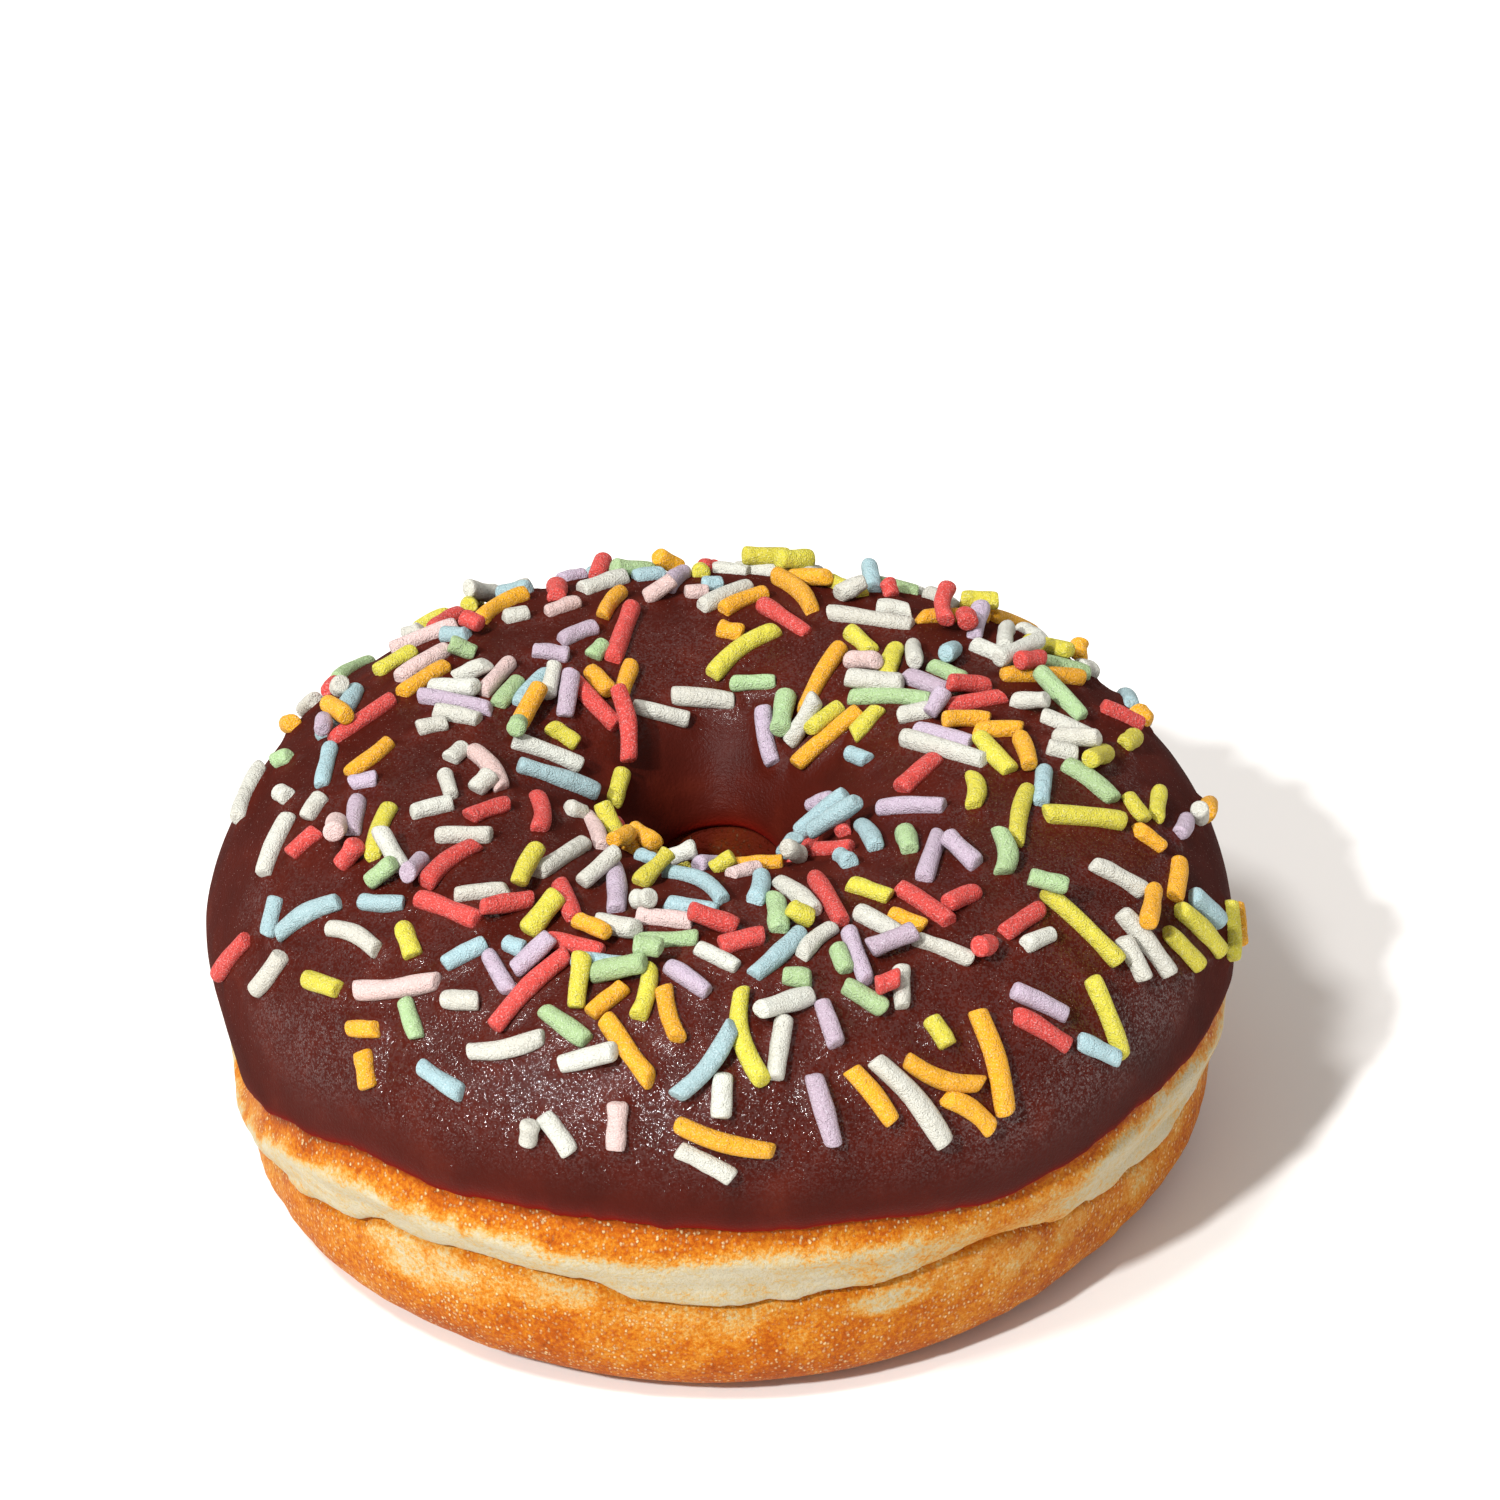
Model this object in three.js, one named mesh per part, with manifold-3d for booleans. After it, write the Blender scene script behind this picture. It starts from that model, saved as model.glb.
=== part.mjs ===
// A raised (yeast) ring doughnut with chocolate frosting and rod sprinkles.
//
// Millimetres, +Z up. The origin is on the axis of the hole, in the plane that the ring stands on.
// Two pieces: the fried dough ring, and the frosting that it was dipped in, with the sprinkles that
// were dropped on it while it was wet.
//
// A place on the ring is given by two measures. The angle goes round the hole from +X, anticlockwise
// seen from above. The arc is the distance along the half section, from the narrowest point of the
// hole up over the crest and down the outside.

import * as THREE from 'three';
import { ParametricGeometry } from 'three/addons/geometries/ParametricGeometry.js';
import { mergeVertices } from 'three/addons/utils/BufferGeometryUtils.js';
import Module from 'manifold-3d';

// ---------------------------------------------------------------- driving dimensions

// The half section is four quarters of superellipses that meet at the crest, the widest point, the
// bottom and the throat of the hole. A higher power gives a squarer quarter.
const CREST_RADIUS = 26;
const OUTER_RADIUS = 47.5;
const THROAT_RADIUS = 6.3;
const CREST_HEIGHT = 40.4;
const WIDEST_HEIGHT = 21;
const THROAT_HEIGHT = 24;
const BOTTOM_PRESSED_FLAT = 0.35;
const POWER = { topOutside: 2.05, bottomOutside: 4.2, topInside: 2.2, bottomInside: 2.6 };

// The ring proved and fried unevenly: [waves round the ring, height, turn, arc for one radian of slant].
// The unevenness dies away between these two heights, so that the bottom is flat.
const UNEVENNESS = [
  [2, 0.32, 0.6, 60],
  [3, 0.24, 5.24, 22],
  [5, 0.16, 1.26, 15],
];
const EVEN_BELOW = 0.5;
const UNEVEN_ABOVE = 6;

// Shallow dents in the outside, left by the tray and the neighbours: [angle, height, depth, half the
// dent's angle, half its height]. They fade in between two radii, so that the crown stays whole.
const DENTS = [
  [-172, 13, 2.6, 15, 6],
  [-120, 6, 0.5, 25, 8],
  [-50, 5, 1.8, 26, 10],
  [-30, 12, 1.2, 16, 10],
];
const DENTS_FROM_RADIUS = 26;
const DENTS_FULL_RADIUS = 40;

// Where the two fried halves meet there is a pale band that never touched the oil. It tapers in to a
// folded crease, and the lower half is narrower than the upper. Heights are given round the ring as
// [angle in degrees, height].
const BAND_TOP = [
  [-168, 9.6], [-157, 11.8], [-144, 16.4], [-133, 18.6], [-120, 18.9], [-106, 18.2], [-88, 18.9],
  [-57, 18.6], [-45, 18.4], [-29, 19.4], [-12, 17.6], [30, 18.4], [80, 19.2], [125, 18.2], [165, 11],
];
const CREASE = [
  [-168, 7.2], [-157, 8.8], [-148, 10.5], [-137, 11.8], [-130, 14.2], [-119, 15], [-105, 14.8],
  [-98, 12.8], [-90, 12.5], [-73, 12.7], [-57, 14.4], [-46, 12.5], [-36, 11.2], [-26, 10.2],
  [-14, 11.6], [8, 13.8], [34, 12.4], [62, 13.8], [84, 15.2], [103, 12.8], [128, 13.4], [150, 11],
  [172, 7.4],
];
const LOWER_HALF_NARROWER = 1.9;
const CREASE_DEPTH = 1.2;
const CREASE_HALF_HEIGHT = 0.75;
const LIP_ABOVE_CREASE = 1.5;
const LIP_BULGE = 0.45;

// Frosting: thin, with a rounded edge that stays wavy round the outside and half way down the hole.
const FROSTING_EDGE = [
  [-176, 13], [-168, 13.2], [-160, 15], [-152, 17.2], [-143, 19.6], [-132, 22], [-102, 22.8],
  [-76, 21.6], [-58, 20.2], [-34, 21.3], [-18, 20.5], [-6, 18.8], [20, 20.4], [55, 20.9], [90, 22.3],
  [120, 20.6], [148, 16.4],
];
const HOLE_EDGE = [[-150, 27.2], [-70, 28.2], [10, 27.2], [70, 28.4], [130, 27.4]];
const FROSTING_THICKNESS = 1.25;
const EDGE_THICKNESS = 0.45;
const EDGE_ROUNDING = 0.3;
const EDGE_TAPER = 4;
const CLEARANCE = 0.36;

// Sprinkles: blunt rods, pressed a little way into the frosting. Those of this length or more are
// fused to it, and the shorter ones are left out.
const SPRINKLE_RADIUS = 0.93;
const SPRINKLE_AXIS_HEIGHT = 0.55;
const SPRINKLE_END_BEVEL = 0.28;
const SPRINKLE_SIDES = 5;
const SHORTEST_FUSED = 5;
const PLACES_ON_ROD = 7;

// Where sprinkles fell: [angle, arc, heading, length]. A heading of 0 lies round the ring, and one of
// 90 points straight down the outside.
const LAID_SPRINKLES = [
  // The front slope.
  [-162, 53.5, 114, 6.5], [-154, 44.7, 115, 7], [-153.5, 51, 103, 5], [-145, 43, 168, 6.5],
  [-134.5, 44.5, 148, 8.5], [-116.5, 45.5, 153, 7], [-123, 50, 11, 5], [-89.5, 51, 16, 8.8],
  [-91.5, 53, 27, 5.5], [-91.5, 44.5, 128, 8], [-86.5, 42, 81, 9], [-110, 42.5, 23, 5.2],
  [-106, 45, 160, 5.3], [-101.5, 43.7, 46, 7.3], [-82.4, 43.2, 105, 5.8], [-56.3, 48.6, 96, 9.5],
  [-63, 48.3, 32, 7.5], [-61, 52, 48, 5.5], [-67.5, 49.6, 62, 10], [-72, 48.4, 62, 6], [-78, 49, 81, 6.6],
  [-47, 45.7, 50, 5.8], [-48.5, 48, 53, 6], [-39.4, 50, 97, 7.8], [-34, 42.4, 88, 9.5],
  [-27.6, 47.5, 88, 7.5], [-22.4, 50.7, 71, 5.5], [-17, 51.5, 68, 7.5], [-13.4, 51, 68, 5],
  [-9, 56, 150, 6], [-25, 45.5, 165, 5], [-22.5, 42, 75, 5.6],
  // The front of the crown.
  [-116.7, 40, 110, 9.5], [-122, 39.5, 35, 5], [-80.8, 39.4, 160, 5.8], [-54.7, 37.3, 52, 5.5],
  [-110, 38.5, 80, 5], [-100.5, 38.2, 92, 5.4], [-136.5, 36, 170, 7], [-41, 38.7, 0, 5],
  [-96.7, 40, 70, 5.5], [-105, 36.6, 169, 5.2], [-100.5, 29.5, 2, 5.2], [-98.7, 32.2, 168, 5.4],
  [-78.3, 28.5, 99, 5.2], [-72.3, 26, 76, 6.4], [-66.5, 27.2, 96, 8.2], [-80.2, 33.7, 137, 7.2],
  [-73.3, 32.7, 143, 5], [-113.8, 34.6, 0, 5.8], [-120.5, 29.5, 45, 6], [-166, 36.7, 20, 5],
  [-160, 35.3, 32, 6.8], [-153, 35.6, 5, 5], [-145.2, 32.2, 77, 7], [-134.8, 32.8, 134, 5],
  [-128.4, 33, 117, 5], [-132, 24, 81, 8], [-114, 25.5, 63, 8.3], [-39.5, 27.6, 153, 7.6],
  [-51.3, 32, 83, 6.6], [-67.8, 35.2, 97, 6.3], [-163.5, 38.5, 5, 5],
  // The rim of the hole, in front.
  [-95, 23, 47, 8.3], [-80, 23.8, 106, 5.8], [-20, 13, 70, 6], [-37, 19.8, 130, 6.5],
  // The right of the crown.
  [-6, 21.4, 35, 5.4], [-22, 21.8, 88, 6.6], [3.3, 23.6, 131, 9.5], [9, 24, 134, 6.2],
  [-1.8, 28.2, 149, 5.6], [-14.5, 27, 168, 5], [-19.5, 31.8, 170, 8.6], [-10, 32.7, 175, 5.7],
  [-0.5, 30.9, 173, 5.6], [19.3, 27.8, 92, 6], [43.5, 25.2, 56, 5], [58, 30, 164, 8.2],
  [48.5, 34.7, 50, 5.5], [43, 36, 50, 5.5], [29, 34.5, 70, 6.5], [38.5, 37.3, 45, 6],
  [33, 39.5, 170, 5.5], [18, 36, 160, 7], [9.5, 35.3, 125, 5.2], [39, 22, 142, 5.5], [32.8, 22, 140, 8],
  [-14.5, 37, 62, 8], [-3, 43.5, 5, 5], [-14.5, 47, 170, 5.5],
  // The far side.
  [113.2, 16, 29, 5.5], [95.8, 17, 10, 6], [66, 13.4, 62, 5.9], [61.3, 15.7, 68, 5.1],
  [56.2, 20.3, 83, 8.8], [49.8, 15.5, 102, 5.3], [37.2, 15.5, 100, 8], [112.5, 26.3, 124, 9],
  [111, 31.2, 130, 5.3], [88.7, 31.3, 134, 6.5], [85, 30.4, 135, 5.5], [75.2, 27.6, 36, 6.8],
  [83.5, 22.6, 130, 8.4], [75.5, 33, 54, 9], [75, 36.7, 30, 5], [68.3, 36, 30, 5.2], [66, 38.8, 60, 5],
  [64, 42, 160, 6], [109, 36.3, 160, 5.5],
  // The left of the crown.
  [135.4, 19.6, 93, 7.6], [146, 23.8, 172, 6], [156, 22.4, 176, 5.2], [169.3, 19, 85, 6.8],
  [-178.5, 17.5, 86, 8.2], [-175, 24, 159, 6.6], [-154, 21, 24, 7], [-150.5, 29.3, 121, 5.2],
  [160, 28.8, 90, 7.2], [148, 27.3, 172, 6], [154, 33.3, 18, 6], [149, 35, 15, 6.5],
  [135.5, 15.5, 117, 7.4],
];

// The back and the far flanks have sprinkles that are scattered by a seeded rule. None fall among the
// laid ones, which cover the front from an arc outward and the rest of the crown up to another.
const SCATTER = {
  seed: 20871,
  count: 92,
  longest: 8.8,
  shortest: 2,
  shortnessPower: 1.8,
  nearestHole: 6,
  farthestOut: 57,
  fullFrom: 12,
  fullTo: 40,
  front: { from: 195, to: 348, laidFrom: 18 },
  crownLaidTo: 33,
};

// A rod lies flat if its axis is this far from every other one. If not, its ends rise step by step
// until it rests on the others, a little pressed into them.
const RESTING = {
  laidClearOf: 1.4,
  scatteredClearOf: 1.75,
  apart: 1.5,
  raiseStep: 0.3,
  raiseSteps: 8,
  steepest: 0.45,
  raisedShare: 0.3,
};

// Faces: steps round the ring, and rows over its parts. Rows at the crease are set by their height
// from it, and rows on the rounded heel by their height from the bottom.
const STEPS_ROUND = 60;
const ROWS_UNDER_FROSTING = 10;
const ROWS_OVER_FROSTING = 12;
const EDGE_ROW = 1.2;
const ROWS_FROM_CREASE = [2.1, 0.9, 0, -1.1, -3.4];
const ROWS_ON_HEEL = [6.5, 3.6, 1.7, 0.6];
const ROWS_UP_HOLE = 5;
const SECTION_SAMPLES = 2400;
const NORMAL_REACH = 0.3;

const radians = THREE.MathUtils.degToRad;
const { smoothstep, lerp } = THREE.MathUtils;

// ---------------------------------------------------------------- the half section

// One loop through the throat, crest, widest point and bottom, with the arc run so far at each point.
function traceSection() {
  const section = [];
  let arc = 0;
  for (let i = 0; i <= SECTION_SAMPLES; i++) {
    const turn = Math.PI * (1 - (2 * i) / SECTION_SAMPLES);
    const c = Math.cos(turn);
    const s = Math.sin(turn);
    const outside = c >= 0;
    const top = s >= 0;
    const side = outside ? 'Outside' : 'Inside';
    const power = 2 / POWER[(top ? 'top' : 'bottom') + side];
    const centre = outside ? WIDEST_HEIGHT : THROAT_HEIGHT;
    const halfWidth = outside ? OUTER_RADIUS - CREST_RADIUS : CREST_RADIUS - THROAT_RADIUS;
    const halfHeight = top ? CREST_HEIGHT - centre : centre + BOTTOM_PRESSED_FLAT;
    const r = CREST_RADIUS + halfWidth * Math.sign(c) * Math.abs(c) ** power;
    const z = Math.max(0, centre + halfHeight * Math.sign(s) * Math.abs(s) ** power);
    if (i > 0) arc += Math.hypot(r - section[i - 1].r, z - section[i - 1].z);
    section.push({ arc, r, z });
  }
  return section;
}

const SECTION = traceSection();
const LOOP_LENGTH = SECTION.at(-1).arc;

// The point of the section at an arc, by halving the stretch that holds it.
function sectionPoint(arc) {
  const along = THREE.MathUtils.euclideanModulo(arc, LOOP_LENGTH);
  let low = 0;
  let high = SECTION_SAMPLES;
  while (high - low > 1) {
    const middle = (low + high) >> 1;
    if (SECTION[middle].arc <= along) low = middle;
    else high = middle;
  }
  const a = SECTION[low];
  const b = SECTION[high];
  const t = b.arc > a.arc ? (along - a.arc) / (b.arc - a.arc) : 0;
  return { r: lerp(a.r, b.r, t), z: lerp(a.z, b.z, t) };
}

// The outward direction of the section at an arc, from two points close to each side of it.
function sectionNormal(arc) {
  const a = sectionPoint(arc - NORMAL_REACH);
  const b = sectionPoint(arc + NORMAL_REACH);
  const length = Math.hypot(b.r - a.r, b.z - a.z);
  return { r: -(b.z - a.z) / length, z: (b.r - a.r) / length };
}

// The arc at which the outside comes down to a height, or the hole above its throat comes up to it.
function arcAtHeight(height, inHole) {
  if (inHole) return SECTION.find((p) => p.z >= height).arc;
  return SECTION.findLast((p) => p.r > CREST_RADIUS && p.z >= height).arc;
}

// A height at an angle, eased from each named angle round the ring to the next.
function roundTheRing(heights, angle) {
  const degrees = THREE.MathUtils.euclideanModulo(THREE.MathUtils.radToDeg(angle) - heights[0][0], 360);
  for (let i = 0; i < heights.length; i++) {
    const from = heights[i][0] - heights[0][0];
    const to = i + 1 < heights.length ? heights[i + 1][0] - heights[0][0] : 360;
    if (degrees <= to) {
      return lerp(heights[i][1], heights[(i + 1) % heights.length][1], smoothstep(degrees, from, to));
    }
  }
  return heights[0][1];
}

// ---------------------------------------------------------------- surfaces

// How far the uneven ring stands out from its even section. It dies away at the flat bottom.
function unevenness(arc, angle) {
  let height = 0;
  for (const [waves, size, turn, slant] of UNEVENNESS) {
    height += size * Math.sin(waves * angle + turn + arc / slant);
  }
  return height * smoothstep(sectionPoint(arc).z, EVEN_BELOW, UNEVEN_ABOVE);
}

// The frosting's two edges at an angle, as arcs.
function frostingEdges(angle) {
  return {
    hole: arcAtHeight(roundTheRing(HOLE_EDGE, angle), true),
    outside: arcAtHeight(roundTheRing(FROSTING_EDGE, angle), false),
  };
}

// The frosting's thickness: full a short way in from either edge.
function frostingThickness(arc, edges) {
  const inside = Math.min(arc - edges.hole, edges.outside - arc);
  return lerp(EDGE_THICKNESS, FROSTING_THICKNESS, smoothstep(inside, 0, EDGE_TAPER));
}

// How far the frosting's top lies from the section: its edge is rounded off.
function frostingRise(arc, angle, edges) {
  const inside = Math.min(arc - edges.hole, edges.outside - arc);
  return unevenness(arc, angle) - EDGE_ROUNDING * (1 - smoothstep(inside, 0, EDGE_TAPER / 2));
}

// How far the dough lies from the section: under the frosting by its thickness and the clearance,
// and below it by the band's taper, the crease and the lip that folds over it.
function doughRise(arc, angle, edges) {
  const { r, z } = sectionPoint(arc);
  const beyond = Math.max(edges.hole - arc, arc - edges.outside);
  const rounding = EDGE_ROUNDING * (1 - smoothstep(-beyond, 0, EDGE_TAPER / 2));
  const bed = frostingThickness(arc, edges) + CLEARANCE + rounding;
  let rise = unevenness(arc, angle) - bed * (1 - smoothstep(beyond, 0, EDGE_TAPER));
  if (r > CREST_RADIUS && beyond > 0) {
    const crease = roundTheRing(CREASE, angle);
    const band = roundTheRing(BAND_TOP, angle);
    const taper = 1 - smoothstep(z, crease, band);
    rise -= LOWER_HALF_NARROWER * taper * smoothstep(z, EVEN_BELOW, crease);
    rise -= CREASE_DEPTH * Math.exp(-(((z - crease) / CREASE_HALF_HEIGHT) ** 2));
    rise += LIP_BULGE * Math.exp(-(((z - crease - LIP_ABOVE_CREASE) / LIP_ABOVE_CREASE) ** 2));
  }
  return rise;
}

// How far the dents move a point in toward the axis: a sum of bell curves over angle and height.
function dented(radius, height, angle) {
  let inward = 0;
  for (const [dentAngle, dentHeight, depth, halfAngle, halfHeight] of DENTS) {
    const away = THREE.MathUtils.euclideanModulo(THREE.MathUtils.radToDeg(angle) - dentAngle + 180, 360) - 180;
    inward += depth * Math.exp(-((away / halfAngle) ** 2) - ((height - dentHeight) / halfHeight) ** 2);
  }
  return inward * smoothstep(radius, DENTS_FROM_RADIUS, DENTS_FULL_RADIUS);
}

// A point in space, some way out from the section at an arc and an angle.
function placeOnRing(arc, angle, rise) {
  const p = sectionPoint(arc);
  const n = sectionNormal(arc);
  const z = p.z > 0 ? Math.max(0, p.z + n.z * rise) : 0;
  const even = p.r + n.r * rise;
  const r = even - dented(even, z, angle);
  return new THREE.Vector3(r * Math.cos(angle), r * Math.sin(angle), z);
}

// A closed ring from a loop of points at each angle: rowsAt(angle) lists the loop, always as many.
function ringGeometry(rowsAt) {
  const loops = [];
  for (let i = 0; i < STEPS_ROUND; i++) loops.push(rowsAt((2 * Math.PI * i) / STEPS_ROUND));
  const rows = loops[0].length;
  const surface = (u, v, target) => {
    const loop = loops[Math.round(v * STEPS_ROUND) % STEPS_ROUND];
    target.copy(loop[Math.round(u * rows) % rows]);
  };
  const geometry = new ParametricGeometry(surface, rows, STEPS_ROUND);
  geometry.deleteAttribute('normal');
  geometry.deleteAttribute('uv');
  return mergeVertices(geometry);
}

function spread(from, to, count) {
  return Array.from({ length: count }, (_, i) => lerp(from, to, i / (count - 1)));
}

// ---------------------------------------------------------------- dough

// Rows crowd where the form turns sharply: at the frosting's edge, the lip, the crease and the heel.
function doughRows(angle) {
  const edges = frostingEdges(angle);
  const crease = roundTheRing(CREASE, angle);
  const sideHeights = [
    roundTheRing(BAND_TOP, angle),
    ...ROWS_FROM_CREASE.map((step) => crease + step),
    ...ROWS_ON_HEEL,
  ];
  const flat = SECTION.filter((p) => p.z === 0);
  const holeEdge = edges.hole + LOOP_LENGTH;
  const arcs = [
    ...spread(edges.hole, edges.outside, ROWS_UNDER_FROSTING),
    edges.outside + EDGE_TAPER / 2,
    ...sideHeights.map((height) => arcAtHeight(height, false)),
    flat[0].arc,
    ...spread(flat.at(-1).arc, holeEdge - EDGE_TAPER / 2, ROWS_UP_HOLE),
  ];
  return arcs.map((arc) => placeOnRing(arc, angle, doughRise(nearestTurn(arc, edges), angle, edges)));
}

// An arc just short of a whole loop is also one just below zero, next to the frosting's edge in the hole.
function nearestTurn(arc, edges) {
  return LOOP_LENGTH - arc < arc - edges.outside ? arc - LOOP_LENGTH : arc;
}

// ---------------------------------------------------------------- frosting

// Over the top from the hole to the outside, then back under it, close above the dough.
function frostingRows(angle) {
  const edges = frostingEdges(angle);
  const over = spread(edges.hole + EDGE_ROW, edges.outside - EDGE_ROW, ROWS_OVER_FROSTING);
  const top = [edges.hole, ...over, edges.outside].map((arc) =>
    placeOnRing(arc, angle, frostingRise(arc, angle, edges)),
  );
  const under = spread(edges.outside, edges.hole, ROWS_UNDER_FROSTING).map((arc) =>
    placeOnRing(arc, angle, doughRise(arc, angle, edges) + CLEARANCE),
  );
  return [...top, ...under];
}

// ---------------------------------------------------------------- sprinkles

// A repeatable draw between 0 and 1.
function drawFrom(seed) {
  let state = seed;
  return () => {
    state = (state * 48271) % 2147483647;
    return state / 2147483647;
  };
}

// The frosting's top at a place, with its outward direction and the directions round and down it.
function frostingFrame(arc, angle) {
  const n = sectionNormal(arc);
  const c = Math.cos(angle);
  const s = Math.sin(angle);
  return {
    point: placeOnRing(arc, angle, unevenness(arc, angle)),
    outward: new THREE.Vector3(n.r * c, n.r * s, n.z),
    round: new THREE.Vector3(-s, c, 0),
    down: new THREE.Vector3(n.z * c, n.z * s, -n.r),
  };
}

// The two ends of a rod's axis, each raised over where it would lie flat.
function rodEnds({ arc, angle, heading, length }, startRaise, endRaise) {
  const { point, outward, round, down } = frostingFrame(arc, angle);
  const along = round.clone().multiplyScalar(Math.cos(heading)).addScaledVector(down, Math.sin(heading));
  const reach = length / 2 - SPRINKLE_RADIUS / 2;
  const end = (way, raise) =>
    point.clone().addScaledVector(along, way * reach).addScaledVector(outward, SPRINKLE_AXIS_HEIGHT + raise);
  return { length, start: end(-1, startRaise), end: end(1, endRaise), raised: startRaise + endRaise };
}

// The chance that a scattered sprinkle stays: none among those laid, full on the rest of the crown,
// and less in the hole and down the side.
function staying(arc, angle) {
  const degrees = THREE.MathUtils.radToDeg(angle);
  const inFront = degrees > SCATTER.front.from && degrees < SCATTER.front.to;
  const amongLaid = inFront ? arc > SCATTER.front.laidFrom : arc < SCATTER.crownLaidTo;
  if (amongLaid) return 0;
  return smoothstep(arc, 0, SCATTER.fullFrom) * (1 - smoothstep(arc, SCATTER.fullTo, SCATTER.farthestOut));
}

// The least distance from a few places along one rod's axis to another's.
function closestPass(rod, other) {
  const segment = new THREE.Line3(other.start, other.end);
  const place = new THREE.Vector3();
  const nearest = new THREE.Vector3();
  let least = Infinity;
  for (let i = 0; i < PLACES_ON_ROD; i++) {
    place.lerpVectors(rod.start, rod.end, i / (PLACES_ON_ROD - 1));
    segment.closestPointToPoint(place, true, nearest);
    least = Math.min(least, place.distanceTo(nearest));
  }
  return least;
}

// A rod stays flat where it is clear of the others. Elsewhere its ends are raised, as little as will
// do, until it rests on them. Gives nothing where it would lie too steep or too high.
function comeToRest(place, rods, clearOf) {
  const flat = rodEnds(place, 0, 0);
  if (rods.every((other) => closestPass(flat, other) >= clearOf)) return flat;
  const { raiseStep, raiseSteps, steepest, apart } = RESTING;
  const pairs = Array.from({ length: raiseSteps ** 2 }, (_, k) => [Math.floor(k / raiseSteps), k % raiseSteps]);
  pairs.sort((a, b) => a[0] + a[1] - b[0] - b[1]);
  for (const [start, end] of pairs) {
    if (raiseStep * Math.abs(start - end) > steepest * place.length) continue;
    const raised = rodEnds(place, raiseStep * start, raiseStep * end);
    if (rods.every((other) => closestPass(raised, other) >= apart)) return raised;
  }
  return null;
}

// The longest first: at each length the laid sprinkles, then the scattered ones until the next laid
// one is as long. Each comes to rest on those already there. Of the scattered ones, those stay away
// that find no rest, and most of those that would lie on others.
function layRods() {
  const rods = [];
  const laid = LAID_SPRINKLES.toSorted((a, b) => b[3] - a[3]);
  const draw = drawFrom(SCATTER.seed);
  let scattered = 0;
  for (;;) {
    const left = (1 - scattered / SCATTER.count) ** SCATTER.shortnessPower;
    const length = lerp(SCATTER.shortest, SCATTER.longest, left);
    if (laid.length > 0 && laid[0][3] >= length) {
      const [angle, arc, heading, laidLength] = laid.shift();
      const place = { arc, angle: radians(angle), heading: radians(heading), length: laidLength };
      rods.push(comeToRest(place, rods, RESTING.laidClearOf) ?? rodEnds(place, 0, 0));
      continue;
    }
    if (length < SHORTEST_FUSED) return rods;
    const arc = lerp(SCATTER.nearestHole, SCATTER.farthestOut, draw());
    const place = { arc, angle: 2 * Math.PI * draw(), heading: Math.PI * draw(), length };
    const chance = draw();
    const raisedChance = draw();
    if (chance > (sectionPoint(arc).r / OUTER_RADIUS) * staying(arc, place.angle)) continue;
    const rod = comeToRest(place, rods, RESTING.scatteredClearOf);
    if (!rod || (rod.raised > 0 && raisedChance > RESTING.raisedShare)) continue;
    rods.push(rod);
    scattered += 1;
  }
}

// A blunt rod turned about its axis, from one end to the other.
function rodGeometry({ start, end, length }) {
  const half = length / 2;
  const shoulder = half - SPRINKLE_END_BEVEL;
  const profile = [
    new THREE.Vector2(0, -half),
    new THREE.Vector2(SPRINKLE_RADIUS, -shoulder),
    new THREE.Vector2(SPRINKLE_RADIUS, shoulder),
    new THREE.Vector2(0, half),
  ];
  const geometry = new THREE.LatheGeometry(profile, SPRINKLE_SIDES);
  const along = end.clone().sub(start).normalize();
  geometry.applyQuaternion(new THREE.Quaternion().setFromUnitVectors(new THREE.Vector3(0, 1, 0), along));
  const middle = start.clone().add(end).multiplyScalar(0.5);
  return geometry.translate(middle.x, middle.y, middle.z);
}

// ---------------------------------------------------------------- joining

const wasm = await Module();
wasm.setup();

// A closed geometry as a solid: shared corners are merged, and faces with no area at a pole are dropped.
function toSolid(geometry) {
  const bare = geometry.clone();
  bare.deleteAttribute('normal');
  bare.deleteAttribute('uv');
  const merged = mergeVertices(bare);
  const corners = merged.index.array;
  const faces = [];
  for (let i = 0; i < corners.length; i += 3) {
    const [a, b, c] = corners.subarray(i, i + 3);
    if (a !== b && b !== c && c !== a) faces.push(a, b, c);
  }
  const vertProperties = new Float32Array(merged.attributes.position.array);
  return new wasm.Manifold(new wasm.Mesh({ numProp: 3, vertProperties, triVerts: new Uint32Array(faces) }));
}

function toGeometry(solid) {
  const mesh = solid.getMesh();
  const geometry = new THREE.BufferGeometry();
  geometry.setAttribute('position', new THREE.BufferAttribute(mesh.vertProperties, 3));
  geometry.setIndex(new THREE.BufferAttribute(mesh.triVerts, 1));
  return geometry;
}

// The frosting with every rod fused to it. Keeping the largest closed surface fills what the joining
// seals off and drops loose scraps.
function frostingWithSprinkles() {
  let solid = toSolid(ringGeometry(frostingRows));
  for (const rod of layRods()) solid = solid.add(toSolid(rodGeometry(rod)));
  const pieces = solid.decompose().sort((a, b) => b.volume() - a.volume());
  return toGeometry(pieces[0]);
}

// ---------------------------------------------------------------- the doughnut

function piece(name, geometry, color, roughness) {
  const mesh = new THREE.Mesh(geometry, new THREE.MeshStandardMaterial({ color, roughness, metalness: 0 }));
  mesh.name = name;
  return mesh;
}

const doughnut = new THREE.Group();
doughnut.add(piece('dough_ring', ringGeometry(doughRows), '#d88c3b', 0.7));
doughnut.add(piece('chocolate_frosting', frostingWithSprinkles(), '#5f2d24', 0.45));

export default doughnut;
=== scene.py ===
import math
from functools import partial

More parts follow.
